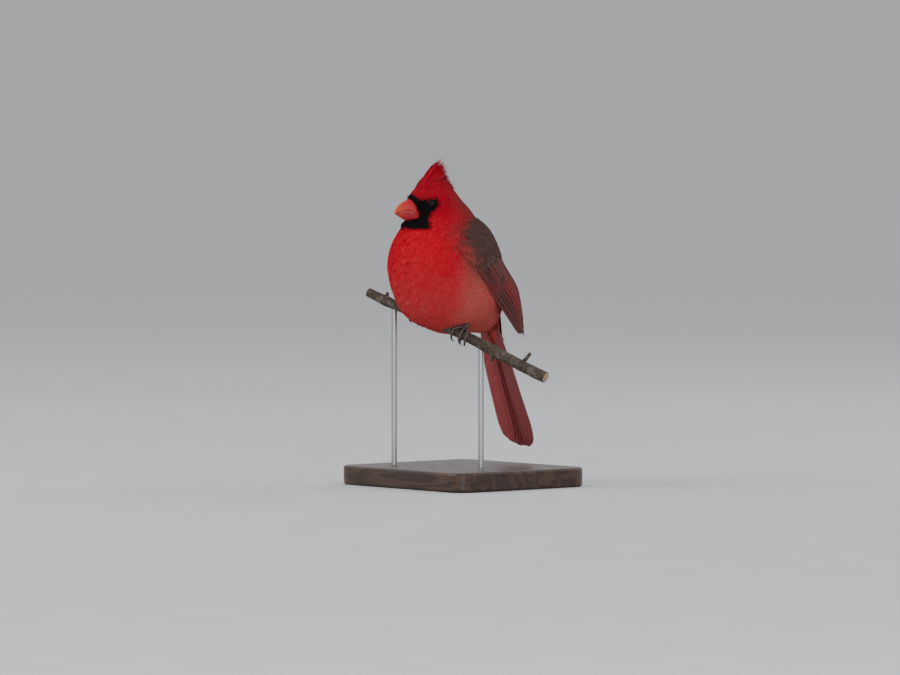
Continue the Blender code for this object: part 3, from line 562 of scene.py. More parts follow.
def relax(i, j, rounds, random):
    """Moves roots that lie too close to others apart, so that they cover evenly."""
    for _ in range(rounds):
        here = sample(BODY, i, j, True)
        spacing = feather_size(here) * 0.17
        order = np.lexsort(np.floor(here / 0.004).astype(int).T)
        sorted_here = here[order]
        push = np.zeros((len(i), 3))
        for step in range(1, 25):
            gap = sorted_here[step:] - sorted_here[:-step]
            distance = np.linalg.norm(gap, axis=1)
            near = distance < spacing[order][step:]
            shove = np.where(near, (spacing[order][step:] - distance) / np.maximum(distance, 1e-6) * 0.4, 0)[:, None] * gap
            push[order[step:]] += shove
            push[order[:-step]] -= shove
        di, dj = grid_steps(i, j)
        i = np.clip(i + (push * di[0]).sum(1) / di[1], 0, BODY_ROWS - 1.01)
        j = np.mod(j + (push * dj[0]).sum(1) / dj[1], BODY_SIDES)
    return i, j


def grid_steps(i, j):
    """Directions and lengths of one step along the rows and round the sides of the body's grid."""
    out = []
    for a, b in ((0.5, 0.0), (0.0, 0.5)):
        step = sample(BODY, i + a, j + b, True) - sample(BODY, np.maximum(i - a, 0), j - b, True)
        size = np.maximum(np.linalg.norm(step, axis=1), 1e-5)
        out.append((step / size[:, None], size))
    return out


# Wings: the same sheet as in the solids, with feathers of full detail

WING_HIGH = [
    (0.0190, 0.0100, 0.0680), (0.0085, 0.0430, 0.0530), (0.0055, 0.0645, 0.0250), (0.0105, 0.0720, -0.0100)
]
WING_MIDDLE = [
    (0.0320, 0.0020, 0.0610), (0.0290, 0.0330, 0.0400), (0.0215, 0.0560, 0.0155), (0.0125, 0.0700, -0.0128)
]
WING_LOW = [
    (0.0375, -0.0040, 0.0500), (0.0365, 0.0160, 0.0255), (0.0272, 0.0415, 0.0030), (0.0140, 0.0675, -0.0150)
]
WING_ROWS, WING_COLUMNS = 41, 27
WING_COVER_LIFT = 0.0021
WING_T = np.linspace(-1.3, 1.3, WING_COLUMNS)


def wing_grid():
    high, middle, low = (through(k, WING_ROWS)[:, None] for k in (WING_HIGH, WING_MIDDLE, WING_LOW))
    t = WING_T[None, :, None]
    free = middle + (high - low) * t / 2 + (high + low - 2 * middle) * t * t / 2
    s = np.linspace(0, 1, WING_ROWS)[:, None, None]
    away = (free - TRUNK_MIDDLE).reshape(-1, 3)
    hugging = reach(TRUNK_MIDDLE, unit(away), 0.09).reshape(free.shape)
    normal = field_normals(hugging)
    lift = 0.0002 - 0.0008 * (1 - ease(t, -1.1, -0.6)) - 0.0026 * (1 - ease(s, 0.0, 0.12))
    loose = ease(s, 0.28, 0.66)
    return (hugging + normal * lift) * (1 - loose) + free * loose


WING = wing_grid()
MIRROR = np.array([-1.0, 1.0, 1.0])


def wing_at(s, t):
    """Point and outward normal of the left wing's sheet, s from wrist to tip, t from low to high edge."""
    s, t = np.broadcast_arrays(np.asarray(s, float), np.asarray(t, float))

    def place(s, t):
        return sample(WING, s * (WING_ROWS - 1), (t - WING_T[0]) / (WING_T[-1] - WING_T[0]) * (WING_COLUMNS - 1), False)

    small = 0.02
    along = place(s + small, t) - place(s - small, t)
    across = place(s, t + small) - place(s, t - small)
    beyond = np.maximum(s - 1, 0)[..., None] * (WING_ROWS - 1)
    tip = place(np.ones_like(s), t) - place(np.full_like(s, 1 - 1 / (WING_ROWS - 1)), t)
    return place(s, t) + tip * beyond, unit(np.cross(along, across))


def wing_place(points):
    """The nearest place on the folded wing, as s and t, for points close to it. s is -1 where none is."""
    s = np.linspace(0, 1, 41)[:, None]
    t = np.linspace(-1.2, 1.2, 25)[None]
    sheet, _ = wing_at(s, t)
    flat = sheet.reshape(-1, 3)
    s, t = np.broadcast_to(s, sheet.shape[:2]).ravel(), np.broadcast_to(t, sheet.shape[:2]).ravel()
    folded = points * np.where(points[:, :1] < 0, MIRROR, 1.0)
    places = np.empty((len(points), 2))
    for first in range(0, len(points), 2000):
        distance = np.linalg.norm(folded[first:first + 2000, None] - flat[None], axis=-1)
        nearest = distance.argmin(1)
        close = distance.min(1) < 0.008
        places[first:first + 2000, 0] = np.where(close, s[nearest], -1)
        places[first:first + 2000, 1] = t[nearest]
    return places[:, 0], places[:, 1]


def wing_cover(points):
    """Two shares for points on the body: how far they lie hidden under the wing, and how far on its front, where
    soft feathers cover it."""
    s, t = wing_place(points)
    within = ease(t, -1.06, -0.86) * (1 - ease(t, 0.86, 1.04))
    last = np.interp(t, [-1.0, -0.4, 0.3], [0.10, 0.18, 0.29])
    return ease(s, last - 0.05, last + 0.03) * within, ease(s, -0.01, 0.05) * (1 - ease(s, last, last + 0.09)) * within


EYES = []
for eye_side in (1, -1):
    look = HEAD_TURN @ unit([eye_side * 0.0122, -0.0052, 0.0019])
    on_skin = reach(HEAD_CENTRE, look[None])[0]
    look = field_normals(on_skin[None])[0]
    EYES.append((eye_side, on_skin - look * (EYE_RADIUS - EYE_RISE), look))


BILL_SOURCE = in_head(0, 0.0150, -0.0010)
TAIL_SINK = np.array([0.0, 0.0575, -0.0130])
CREST_WAY = HEAD_TURN @ np.array([0.0, 0.55, 0.84])


def lie_at(points, normals):
    """The way the feathers lie: from the bill back over the head, up into the crest, and on towards the tail."""
    away, home = points - BILL_SOURCE, TAIL_SINK - points
    way = away / (away**2).sum(-1, keepdims=True) + home / (home**2).sum(-1, keepdims=True)
    local = head_local(points)
    crown = ease(local[..., 2], 0.003, 0.011) * ease(local[..., 1], -0.016, -0.004)
    way = unit(way) * (1 - crown[..., None]) + CREST_WAY * crown[..., None]
    return unit(way - normals * (way * normals).sum(-1, keepdims=True))


def trace(i, j, size, fan):
    """Centre lines and normals of feathers that follow the lie over the body's outline and on past its rear end."""
    here, normal = sample(BODY, i, j, True), unit(sample(BODY_NORMAL, i, j, True))
    line, normals = [here], [normal]
    for length in np.diff(STATIONS):
        way = lie_at(here, normal)
        way = way * np.cos(fan)[:, None] + np.cross(normal, way) * np.sin(fan)[:, None]
        (along, along_size), (round_way, round_size) = grid_steps(i, j)
        skew = (along * round_way).sum(1)
        on_rows, on_sides = (way * along).sum(1), (way * round_way).sum(1)
        rest = np.maximum(1 - skew**2, 0.15)
        di = (on_rows - skew * on_sides) / rest * size * length / along_size
        dj = (on_sides - skew * on_rows) / rest * size * length / round_size
        i = i + np.clip(di, -9, 9)
        j = j + np.clip(dj, -12, 12)
        past = (i > BODY_ROWS - 3)[:, None]
        here = np.where(past, here + way * (size * length)[:, None], sample(BODY, i, j, True))
        normal = np.where(past, normal, unit(sample(BODY_NORMAL, i, j, True)))
        line.append(here)
        normals.append(normal)
    return np.stack(line, axis=1), np.stack(normals, axis=1)


def body_coat(count, random):
    """The contour feathers of head, neck and trunk, from roots on the skin to tips on the body's outline. Gives
    their roots, centre lines, normals, sizes, places on the grid and how far each stands up over the wings."""
    i, j = spread_roots(count, random)
    i, j = relax(i, j, 3, random)
    root = sample(BODY, i, j, True)
    size = feather_size(root) * random.uniform(0.9, 1.1, len(i))
    fan = np.clip(random.normal(0, 0.07, len(i)), -0.2, 0.2)
    root_under, _ = wing_cover(root)
    tip_under, _ = wing_cover(trace(i, j, size, fan)[0][:, -1])
    outer, normal = trace(i, j, size * (1 - 0.35 * tip_under * (1 - root_under)), fan)
    middle_under, front = wing_cover(outer[:, 2])
    tip_under, tip_front = wing_cover(outer[:, -1])
    over = np.maximum(WING_COVER_LIFT * np.maximum(front, tip_front), 0.0013 * np.clip(tip_under - root_under, 0, 1))
    keep = ~((tip_under > 0.6) & (middle_under > np.where(root_under > 0.15, 0.6, 0.9)))
    keep &= ((outer[:, -1] - outer[:, 0]) * lie_at(outer[:, 2], normal[:, 2])).sum(1) > size * 0.45
    for _, centre, _ in EYES:
        clear = np.minimum(np.linalg.norm(outer[:, 0] - centre, axis=1), np.linalg.norm(outer[:, 2] - centre, axis=1))
        keep &= clear > EYE_RADIUS
        keep &= np.linalg.norm(outer[:, -1] - centre, axis=1) > EYE_RADIUS - 0.0004
    local = head_local(root)
    bill = ((local - [0, 0.0185, -0.0025]) / [0.0048, 0.0072, 0.0072]) ** 2
    keep &= bill.sum(-1) > 1
    return [values[keep] for values in (root, outer, normal, size, i, j, over)]


def paths(outer, normal, depth, tip_lift, over):
    """Feather centre lines that leave the skin, rise to the body's outline and lie along it."""
    rise = 1 - (1 - STATIONS) ** 2.6
    height = -depth[:, None] * (1 - rise) - 0.00030 * rise + tip_lift[:, None] * STATIONS**2
    height = height + over[:, None] * ease(STATIONS, 0.2, 0.8)
    line = outer + normal * height[..., None]
    ahead = unit(np.gradient(line, axis=1))
    across = unit(np.cross(ahead, normal))
    return line, across, np.cross(across, ahead)


def along_stations(values, v):
    """Values given at the stations of each feather, between them at each point of a template."""
    v = np.clip(v, 0, 1) * (len(STATIONS) - 1)
    piece = np.minimum(v.astype(int), len(STATIONS) - 2)
    share = (v - piece)[None, :, None]
    return (values[:, piece] * (1 - share) + values[:, piece + 1] * share).reshape(-1, values.shape[-1])


def feathers(outer, normal, size, depth, half, root_uv, weights, hue, templates, random, tip_lift=None, over=None):
    """Builds feathers on given centre lines, with a random template for each. weights may change along them."""
    count = len(size)
    if weights.ndim == 2:
        weights = np.repeat(weights[:, None], len(STATIONS), axis=1)
    tip_lift = random.normal(0.0001, 0.00035, count) if tip_lift is None else tip_lift
    over = np.zeros(count) if over is None else over
    line, across, out = paths(outer, normal, depth, tip_lift, over)
    own = random.uniform(0, 1, count)
    choice = random.integers(0, len(templates), count)
    parts = []
    for k, template in enumerate(templates):
        at = np.flatnonzero(choice == k)
        if not len(at):
            continue
        points, faces, shade = place_feathers(line[at], across[at], out[at], normal[at], half[at], template, STATIONS)
        corners = len(template[0])
        lay = np.empty((len(at), corners, 3))
        lay[..., 0] = template[0][:, 0]
        lay[..., 1] = template[0][:, 1] * 0.5 + 0.5
        lay[..., 2] = own[at][:, None]
        zone = along_stations(weights[at], template[0][:, 0])
        tint = np.repeat(hue[at], corners, axis=0)
        uv = bake_map(root_uv[at], template[0])
        parts.append((points, faces, shade, zone, lay.reshape(-1, 3), tint, uv))
    return stack(parts)


def coat_piece(name, built, finish):
    points, faces, shade, zone, lay, hue, uv = built
    attributes = {"zone": zone, "lay": lay, "hue": hue}
    return mesh_object(name, points, faces, finish, attributes, {"OFBake": uv}, normals=shade)


def weights_at(points, normals):
    return np.stack([mask_weight(points), grey_weight(points, normals), pale_weight(points, normals)], axis=-1)


def hue_at(points):
    crown = ease(points[..., 2], 0.056, 0.086)
    return np.stack([crown, np.zeros_like(crown), np.zeros_like(crown)], axis=-1)


def build_skin(finish):
    """The skin under the coat, one closed mesh over trunk, neck and head."""
    points = BODY - BODY_NORMAL * (BODY_DEPTHS + 0.0004)
    rows, sides = points.shape[:2]
    flat = points.reshape(-1, 3)
    index = np.arange(rows * sides).reshape(rows, sides)
    a, b = index[:-1], np.roll(index, -1, axis=1)[:-1]
    c, d = np.roll(index, -1, axis=1)[1:], index[1:]
    quads = np.stack([a, b, c, d], axis=-1).reshape(-1, 4)
    front, rear = len(flat), len(flat) + 1
    ends = [points[0].mean(0), points[-1].mean(0)]
    caps = []
    for j in range(sides):
        k = (j + 1) % sides
        caps.append((front, index[0, k], index[0, j], index[0, j]))
        caps.append((rear, index[-1, j], index[-1, k], index[-1, k]))
    faces = np.concatenate([np.concatenate([quads[:, [0, 1, 2]], quads[:, [0, 2, 3]]]), np.array(caps)[:, :3]])
    points = np.vstack([flat, ends])
    normals = np.vstack([BODY_NORMAL.reshape(-1, 3), BODY_NORMAL[0].mean(0), BODY_NORMAL[-1].mean(0)])
    s = np.repeat(np.arange(rows) / (rows - 1), sides)
    theta = np.tile(np.arange(sides) / sides, rows)
    uv = np.vstack([np.stack([theta, s], axis=1), [[0.5, 0.0], [0.5, 1.0]]])
    lay = np.zeros((len(points), 3))
    lay[:, 0], lay[:, 2] = 1.0, 0.5
    attributes = {"zone": weights_at(points, normals), "lay": lay, "hue": hue_at(points)}
    skin = mesh_object("skin", points, faces, finish, attributes, {"OFBake": uv})
    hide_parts("head", "neck", "torso")
    return skin


def build_coat(finish, count, random):
    root, outer, normal, size, i, j, over = body_coat(count, random)
    depth = coat_depth(root)
    half = size * random.uniform(0.22, 0.27, len(size))
    weights = weights_at(outer + random.normal(0, 0.08, (len(size), 1, 3)) * size[:, None, None], normal)
    edge = random.normal(0, 0.06, len(size))[:, None, None]
    weights = np.clip(weights + edge * (weights > 0.02) * (weights < 0.98), 0, 1)
    hue = hue_at(outer[:, 3])
    uv = np.stack([j / BODY_SIDES, i / (BODY_ROWS - 1)], axis=1)
    fluff = random.normal(0.0, 1.0, len(size)) * (0.00005 + 0.010 * (size - 0.003))
    order = np.argsort(i)
    groups = np.array_split(order, max(1, math.ceil(len(order) / 1650)))
    for number, at in enumerate(groups, 1):
        built = feathers(outer[at], normal[at], size[at], depth[at], half[at], uv[at], weights[at], hue[at],
                         TEMPLATES, random, fluff[at], over[at])
        coat_piece(f"coat_{number}", built, finish)


# Crest

CREST_ROOTS = np.array([(0.0160, 0.0100), (0.0090, 0.0155), (0.0010, 0.0170), (-0.0080, 0.0150)])
SKIRT_ROOTS = np.array([(0.0182, 0.0080), (0.0105, 0.0150), (0.0010, 0.0170), (-0.0080, 0.0150)])
CREST_TIPS = np.array([(-0.0052, 0.0328), (-0.0076, 0.0268), (-0.0108, 0.0196), (-0.0155, 0.0122)])


def build_crest(finish, count, random):
    """Long slender feathers swept up and back from the crown to one edge."""
    row = np.sort(random.beta(0.9, 1.1, count)) * 3
    lean = np.radians(np.clip(random.normal(0, 42, count), -82, 82))
    root = np.stack([np.interp(row, range(4), CREST_ROOTS[:, k]) for k in (0, 1)], axis=1)
    tip = np.stack([np.interp(row, range(4), CREST_TIPS[:, k]) for k in (0, 1)], axis=1)
    side, drop = np.sin(lean), 1 - np.cos(lean)
    away = np.stack([side * 0.0085, -(root[:, 0] - 0.003 * drop), root[:, 1] - 0.0035 * drop], axis=1)
    start = reach(HEAD_CENTRE, unit(away) @ HEAD_TURN.T)
    inward = unit(HEAD_CENTRE - start)
    start = start + inward * 0.0016
    shorter = 1.06 - random.uniform(0.0, 0.16, count) * (random.uniform(0, 1, count) < 0.6)
    jitter = random.normal(0, 0.0006, (count, 3))
    end = np.stack([side * 0.0016, -(tip[:, 0] - 0.0025 * drop), tip[:, 1] - 0.0070 * drop * (tip[:, 1] > 0.012)], axis=1)
    end = HEAD_CENTRE + end @ HEAD_TURN.T
    end = start + (end - start) * shorter[:, None] + jitter
    bow = (start + end) / 2 + (np.stack([side * 0.0026, np.full(count, -0.0032), np.full(count, 0.0022)], axis=1)) @ HEAD_TURN.T
    a = STATIONS[None, :, None]
    line = start[:, None] * (1 - a) ** 2 + 2 * bow[:, None] * a * (1 - a) + end[:, None] * a * a
    out = np.stack([side, -0.75 * np.cos(lean), 0.66 * np.cos(lean)], axis=1) @ HEAD_TURN.T
    normal = np.repeat(out[:, None], len(STATIONS), axis=1)
    size = np.linalg.norm(end - start, axis=1)
    weights = np.zeros((count, 3))
    local = head_local(line[:, 2])
    weights[:, 1] = 0.44 * ease(-local[:, 1], -0.006, 0.012)
    hue = hue_at(line[:, 2])
    uv = np.stack([0.5 + lean / math.pi / 4, 0.1 + row / 30], axis=1)
    templates = [feather_template(random, 4, 0.75, 0.85, 0.8) for _ in range(4)]
    built = feathers(line, normal, size, np.zeros(count), np.full(count, 0.0011), uv, weights, hue,
                     templates, random, random.normal(0, 0.0003, count))
    coat_piece("crest", built, finish)


def build_crest_skirt(finish, count, random):
    """Shorter feathers rooted all over the crown, which lead from the head's sides up into the crest."""
    face = np.where(np.arange(count) % 2 == 0, 1.0, -1.0)
    row = random.uniform(0, 1, count) ** 1.2 * 3
    low = random.uniform(0, 1, count)
    root = np.stack([np.interp(row, range(4), SKIRT_ROOTS[:, k]) for k in (0, 1)], axis=1)
    tip = np.stack([np.interp(row, range(4), CREST_TIPS[:, k]) for k in (0, 1)], axis=1)
    away = np.stack([face * (0.0010 + 0.0135 * low), -root[:, 0] + 0.002 * low, root[:, 1] - 0.0115 * low**1.5], axis=1)
    start = reach(HEAD_CENTRE, unit(away) @ HEAD_TURN.T)
    skin_way = field_normals(start)
    goal = HEAD_CENTRE + np.stack([face * 0.0016, -tip[:, 0], tip[:, 1]], axis=1) @ HEAD_TURN.T
    share = 0.62 - 0.30 * low + random.uniform(-0.08, 0.08, count)
    end = start + (goal - start) * share[:, None] + random.normal(0, 0.0003, (count, 3))
    side_way = np.stack([face, np.full(count, -0.25), np.full(count, 0.35)], axis=1) @ HEAD_TURN.T
    bow = (start + end) / 2 + unit(skin_way + side_way) * (0.0007 + 0.0009 * low)[:, None]
    a = STATIONS[None, :, None]
    line = (start - skin_way * 0.0017)[:, None] * (1 - a) ** 2 + 2 * bow[:, None] * a * (1 - a) + end[:, None] * a * a
    normal = unit(skin_way[:, None] * (1 - a) + unit(side_way)[:, None] * a)
    size = np.linalg.norm(end - start, axis=1)
    uv = np.stack([0.5 + face * (0.02 + 0.2 * low), 0.1 + row / 30], axis=1)
    built = feathers(line, normal, size, np.zeros(count), np.full(count, 0.0015), uv, weights_at(line, normal),
                     hue_at(line[:, 2]), TEMPLATES, random, random.normal(0, 0.0002, count))
    coat_piece("crest_skirt", built, finish)


def build_bristles(finish, count, random):
    """Short black feathers round the root of the bill, which lie forward over its base, furthest on top."""
    angle = random.uniform(-math.pi, math.pi, count)
    up = np.maximum(np.sin(angle), 0)
    start = random.uniform(0.0094, 0.0110, count) + 0.0028 * up
    length = (0.0012 + 0.0052 * up**1.6) * random.uniform(0.75, 1.1, count)
    forward = start[:, None] + length[:, None] * STATIONS
    share = np.clip((0.0287 - forward) / (0.0287 - BILL_BASE), 0, 1)
    half = 0.0055 * share**0.62
    middle, top, low = (height_on(line, forward) for line in (CUTTING_EDGE, CULMEN, GONYS))
    rise = np.where(np.sin(angle)[:, None] > 0, top - middle, middle - low)
    lift = 0.0004 + (0.0002 + 0.0016 * up)[:, None] * random.uniform(0.3, 1, count)[:, None] * (0.5 + STATIONS)
    side = (half + lift) * np.cos(angle)[:, None]
    high = middle + (rise + lift) * np.sin(angle)[:, None]
    line = HEAD_CENTRE + np.stack([side, -forward, high], axis=-1) @ HEAD_TURN.T
    out = np.stack([np.cos(angle), np.full(count, -0.35), np.sin(angle)], axis=1) @ HEAD_TURN.T
    normal = np.repeat(unit(out)[:, None], len(STATIONS), axis=1)
    weights = np.tile([1.0, 0.0, 0.0], (count, 1))
    uv = np.stack([0.5 + angle / 7, np.full(count, 0.02)], axis=1)
    templates = [feather_template(random, 3, 0.9, 0.75, 0.7) for _ in range(3)]
    built = feathers(line, normal, length, np.zeros(count), np.full(count, 0.0006), uv, weights, hue_at(line[:, 2]),
                     templates, random, random.normal(0, 0.0001, count))
    coat_piece("bill_bristles", built, finish)


# Flight feathers, wing coverts and tail feathers

def vane_mesh(line, across, normal, left, right, camber, tilt, thick, columns=7):
    """One closed cambered vane with a shaft. Returns points, triangles, normals, (along, across) of each point, and
    whether it is on the shaft."""
    rows = len(line)
    u = np.linspace(-1, 1, columns)
    wide = np.where(u < 0, left[:, None], right[:, None]) * u
    lift = camber * (1 - u**2) * (left + right)[:, None] + tilt * u
    top = line[:, None] + across[:, None] * wide[..., None] + normal[:, None] * (lift + thick / 2)[..., None]
    low = top - normal[:, None] * thick
    width = np.maximum(np.where(u < 0, left[:, None], right[:, None]), 1e-4)
    slope = (tilt - 2 * camber * u * (left + right)[:, None]) / width
    face = unit(normal[:, None] - across[:, None] * slope[..., None]).reshape(-1, 3)
    index = np.arange(rows * columns).reshape(rows, columns)
    a, b, c, d = index[:-1, :-1], index[:-1, 1:], index[1:, 1:], index[1:, :-1]
    quads = np.stack([a, b, c, d], axis=-1).reshape(-1, 4)
    count = rows * columns
    under = quads[:, ::-1] + count
    edge = np.concatenate([index[0], index[1:, -1], index[-1, -2::-1], index[-2:0:-1, 0]])
    following = np.roll(edge, -1)
    wall = np.stack([following, edge, edge + count, following + count], axis=-1)
    shaft = []
    points = [top.reshape(-1, 3), low.reshape(-1, 3)]
    middle = columns // 2
    crown = top[:, middle]
    radius = 0.00032 * (1 - 0.85 * np.linspace(0, 1, rows)) * min(1.0, float((left + right).max()) / 0.006)
    base = 2 * count
    for shift, height in ((-1, -0.2), (1, -0.2), (0, 0.8)):
        points.append(crown + (across * shift + normal * height) * radius[:, None])
    for r in range(rows - 1):
        for j in range(3):
            k = (j + 1) % 3
            shaft.append((base + k * rows + r, base + j * rows + r, base + j * rows + r + 1, base + k * rows + r + 1))
    quads = np.concatenate([quads, under, wall, np.array(shaft)])
    triangles = np.concatenate([quads[:, [0, 1, 2]], quads[:, [0, 2, 3]]])
    ends = [(base, base + rows, base + 2 * rows), (base + rows - 1, base + 3 * rows - 1, base + 2 * rows - 1)]
    triangles = np.concatenate([triangles, ends])
    along = np.linspace(0, 1, rows)
    lay = np.stack([np.repeat(along, columns), np.tile(u * 0.5 + 0.5, rows)], axis=1)
    ridge = np.stack([along, np.full(rows, 0.5)], axis=1)
    lay = np.vstack([lay, lay, ridge, ridge, ridge])
    kind = np.zeros(len(lay))
    kind[2 * count:] = 1
    shade = np.vstack([face, -face, unit(normal - across), unit(normal + across), normal])
    return np.vstack(points), triangles, shade, lay, kind


def vane_group(name, specs, finish):
    """Many vanes in one mesh. Each spec ends with a number of its own, the edge's redness, the mantle's share and
    the way in which the coloured edge lies."""
    points, faces, shades, lays, tints, uvs, offset = [], [], [], [], [], [], 0
    tiles = math.ceil(math.sqrt(len(specs) * 4))
    for number, (line, across, normal, left, right, camber, tilt, own, red, mantle, way) in enumerate(specs):
        p, f, shade, lay, kind = vane_mesh(line, across, normal, left, right, camber, tilt, 0.00014)
        if way < 0:
            lay = np.column_stack([lay[:, 0], 1 - lay[:, 1]])
        points.append(p)
        shades.append(shade)
        faces.append(f + offset)
        offset += len(p)
        lays.append(np.column_stack([lay, np.full(len(p), own)]))
        tints.append(np.column_stack([np.full(len(p), red), kind, np.full(len(p), mantle)]))
        cell = np.array([number % tiles, number // tiles * 4]) / np.array([tiles, tiles])
        uvs.append(cell + lay[:, ::-1] * [0.9 / tiles, 3.8 / tiles])
    attributes = {"lay": np.vstack(lays), "tint": np.vstack(tints)}
    maps = {"OFBake": np.vstack(uvs)}
    return mesh_object(name, np.vstack(points), np.vstack(faces), finish, attributes, maps,
                       normals=np.vstack(shades))


# Rows of wing feathers: how many, s at the roots, t of the first and last root, s at the first, middle and last
# tip, t of the first and last tip, half width, tier, redness of the edges, share of the mantle's colour, share of
# the width before the shaft
WING_FEATHERS = [
    (9, 0.36, (-0.96, -0.14), (0.90, 0.975, 0.84), (-0.86, 0.56), 0.0034, 0, 0.40, 0.00, 0.34),
    (6, 0.32, (-0.40, 0.36), (0.78, 0.775, 0.735), (-0.36, 0.56), 0.0043, 1, 1.00, 0.00, 0.34),
    (3, 0.28, (0.46, 0.78), (0.71, 0.66, 0.58), (0.54, 0.86), 0.0052, 2, 0.60, 0.30, 0.46),
    (6, 0.18, (-1.00, -0.62), (0.47, 0.475, 0.45), (-0.97, -0.58), 0.0028, 1, 0.70, 0.10, 0.40),
    (3, 0.10, (-1.00, -0.86), (0.30, 0.335, 0.35), (-0.98, -0.82), 0.0024, 2.1, 0.45, 0.30, 0.40),
    (9, 0.14, (-0.56, 0.74), (0.385, 0.415, 0.40), (-0.52, 0.80), 0.0040, 1.2, 0.80, 0.40, 0.45),
    (9, 0.05, (-0.76, 0.78), (0.245, 0.290, 0.280), (-0.74, 0.84), 0.0042, 1.5, 0.60, 0.85, 0.50),
]
VANE_OUTLINE = ([0.0, 0.12, 0.45, 0.75, 0.90, 0.97, 1.0], [0.30, 0.72, 0.98, 1.0, 0.84, 0.50, 0.06])


def wing_specs(side, random):
    specs = []
    v = np.concatenate([np.linspace(0, 0.84, 12), [0.90, 0.945, 0.975, 1.0]])
    outline = np.interp(v, *VANE_OUTLINE)
    for count, root_s, root_t, tip_s, tip_t, half, tier, red, mantle, lead in WING_FEATHERS:
        for k in range(count):
            share = k / max(count - 1, 1)
            end_s = np.interp(share, (0, 0.5, 1), tip_s) + random.uniform(-0.006, 0.006)
            start_t = root_t[0] + (root_t[1] - root_t[0]) * share
            end_t = tip_t[0] + (tip_t[1] - tip_t[0]) * share + random.uniform(-0.012, 0.012)
            s = root_s + (end_s - root_s) * v
            t = start_t + (end_t - start_t) * v
            point, normal = wing_at(np.maximum(s, 0), t)
            lift = (0.0003 + 0.00030 * tier) * (1 - 0.6 * ease(s, 0.5, 1.0)) - 0.0014 * (1 - ease(v, 0.0, 0.35)) * (tier > 0)
            line = point + normal * (lift + 0.00003 * k)[:, None]
            ahead = unit(np.gradient(line, axis=0))
            across = unit(np.cross(ahead, normal))
            pointed = outline if tier else np.interp(v, [0, 0.15, 0.6, 0.85, 0.96, 1.0], [0.45, 0.85, 1.0, 0.82, 0.55, 0.12])
            width = half * random.uniform(0.96, 1.04)
            left, right = 2 * width * (1 - lead) * pointed, 2 * width * lead * pointed
            if side < 0:
                line, across, normal = line * MIRROR, -across * MIRROR, normal * MIRROR
                left, right = right, left
            specs.append((line, across, normal, left, right, 0.050, side * 0.00034, random.uniform(0, 1), red, mantle, side))
    return specs


def tail_point(side, along, back):
    turn = turn_about_x(-TAIL_PITCH)
    return TAIL_ROOT + np.stack([side, along, back], axis=-1) @ turn.T


TAIL_BACK = turn_about_x(-TAIL_PITCH) @ [0, 0, 1]


def tail_specs(random):
    specs = []
    v = np.concatenate([np.linspace(-0.03, 0.86, 14), [0.92, 0.955, 0.98, 1.0]])
    wide = np.interp(v, [-0.03, 0.40, 0.88, 0.955, 0.985, 1.0], [0.38, 0.90, 1.0, 0.82, 0.55, 0.10])
    for k in range(12):
        place = (k - 5.5) / 5.5
        spread = (TAIL_WIDTH - TAIL_FEATHER) / 2 * place
        length = TAIL_LENGTH * (1 - 0.05 * abs(place) ** 3) * random.uniform(0.988, 1.0)
        side = spread * (0.40 + 0.60 * np.maximum(v, 0) ** 0.7)
        sag = -0.004 * v * (1 - v)
        back = 0.0002 - 0.0022 * abs(place) - 0.0012 * place**2 + sag + 0.0001 * math.copysign(1, place)
        line = tail_point(side, length * v, np.broadcast_to(back, v.shape))
        ahead = unit(np.gradient(line, axis=0))
        out = TAIL_BACK + np.array([0.10 * place, 0, 0])
        across = unit(np.cross(ahead, out))
        normal = np.cross(across, ahead)
        outer = 0.5 - 0.16 * abs(place)
        share = outer if place > 0 else 1 - outer
        left, right = TAIL_FEATHER * share * wide, TAIL_FEATHER * (1 - share) * wide
        specs.append((line, across, normal, left, right, 0.035, 0.0, random.uniform(0, 1), 1.0, 0.5 + 0.5 * place, math.copysign(1, place)))
    return specs


def build_tail_coverts(finish, random):
    """The soft coverts over and under the root of the tail."""
    count = 220
    face = np.where(np.arange(count) % 2 == 0, 1.0, -1.0)
    place = random.uniform(-1, 1, count)
    begin = random.uniform(-0.014, 0.012, count)
    length = random.uniform(0.012, 0.019, count) * (1 - 0.2 * np.abs(place))
    along = begin[:, None] + length[:, None] * STATIONS
    high = np.where(face > 0, 0.0058, 0.0042)[:, None]
    thick = high * (1 - ease(along, -0.012, 0.032)) + 0.0009
    bend = place[:, None] * (0.0095 - 0.0035 * ease(along, -0.008, 0.026))
    back = face[:, None] * thick * np.sqrt(np.maximum(1 - (0.85 * place[:, None]) ** 2, 0.05)) - 0.0012
    line = tail_point(bend, along, back)
    out = TAIL_BACK * face[:, None] * 0.8 + np.stack([place, 0 * place, 0 * place], axis=1) * 0.6
    normal = np.repeat(unit(out)[:, None], len(STATIONS), axis=1)
    weights = np.zeros((count, len(STATIONS), 3))
    weights[..., 1] = np.where(face[:, None] > 0, 0.34 + 0.30 * (1 - ease(along, -0.012, 0.012)), 0.12)
    weights[..., 2] = 0.75
    uv = np.stack([0.5 + 0.12 * place + 0.25 * (face > 0), 0.96 + 0.03 * random.uniform(0, 1, count)], axis=1)
    built = feathers(line, normal, length, np.zeros(count), np.full(count, 0.0026), uv, weights, hue_at(line[:, 2]),
                     TEMPLATES, random, np.zeros(count))
    coat_piece("tail_coverts", built, finish)


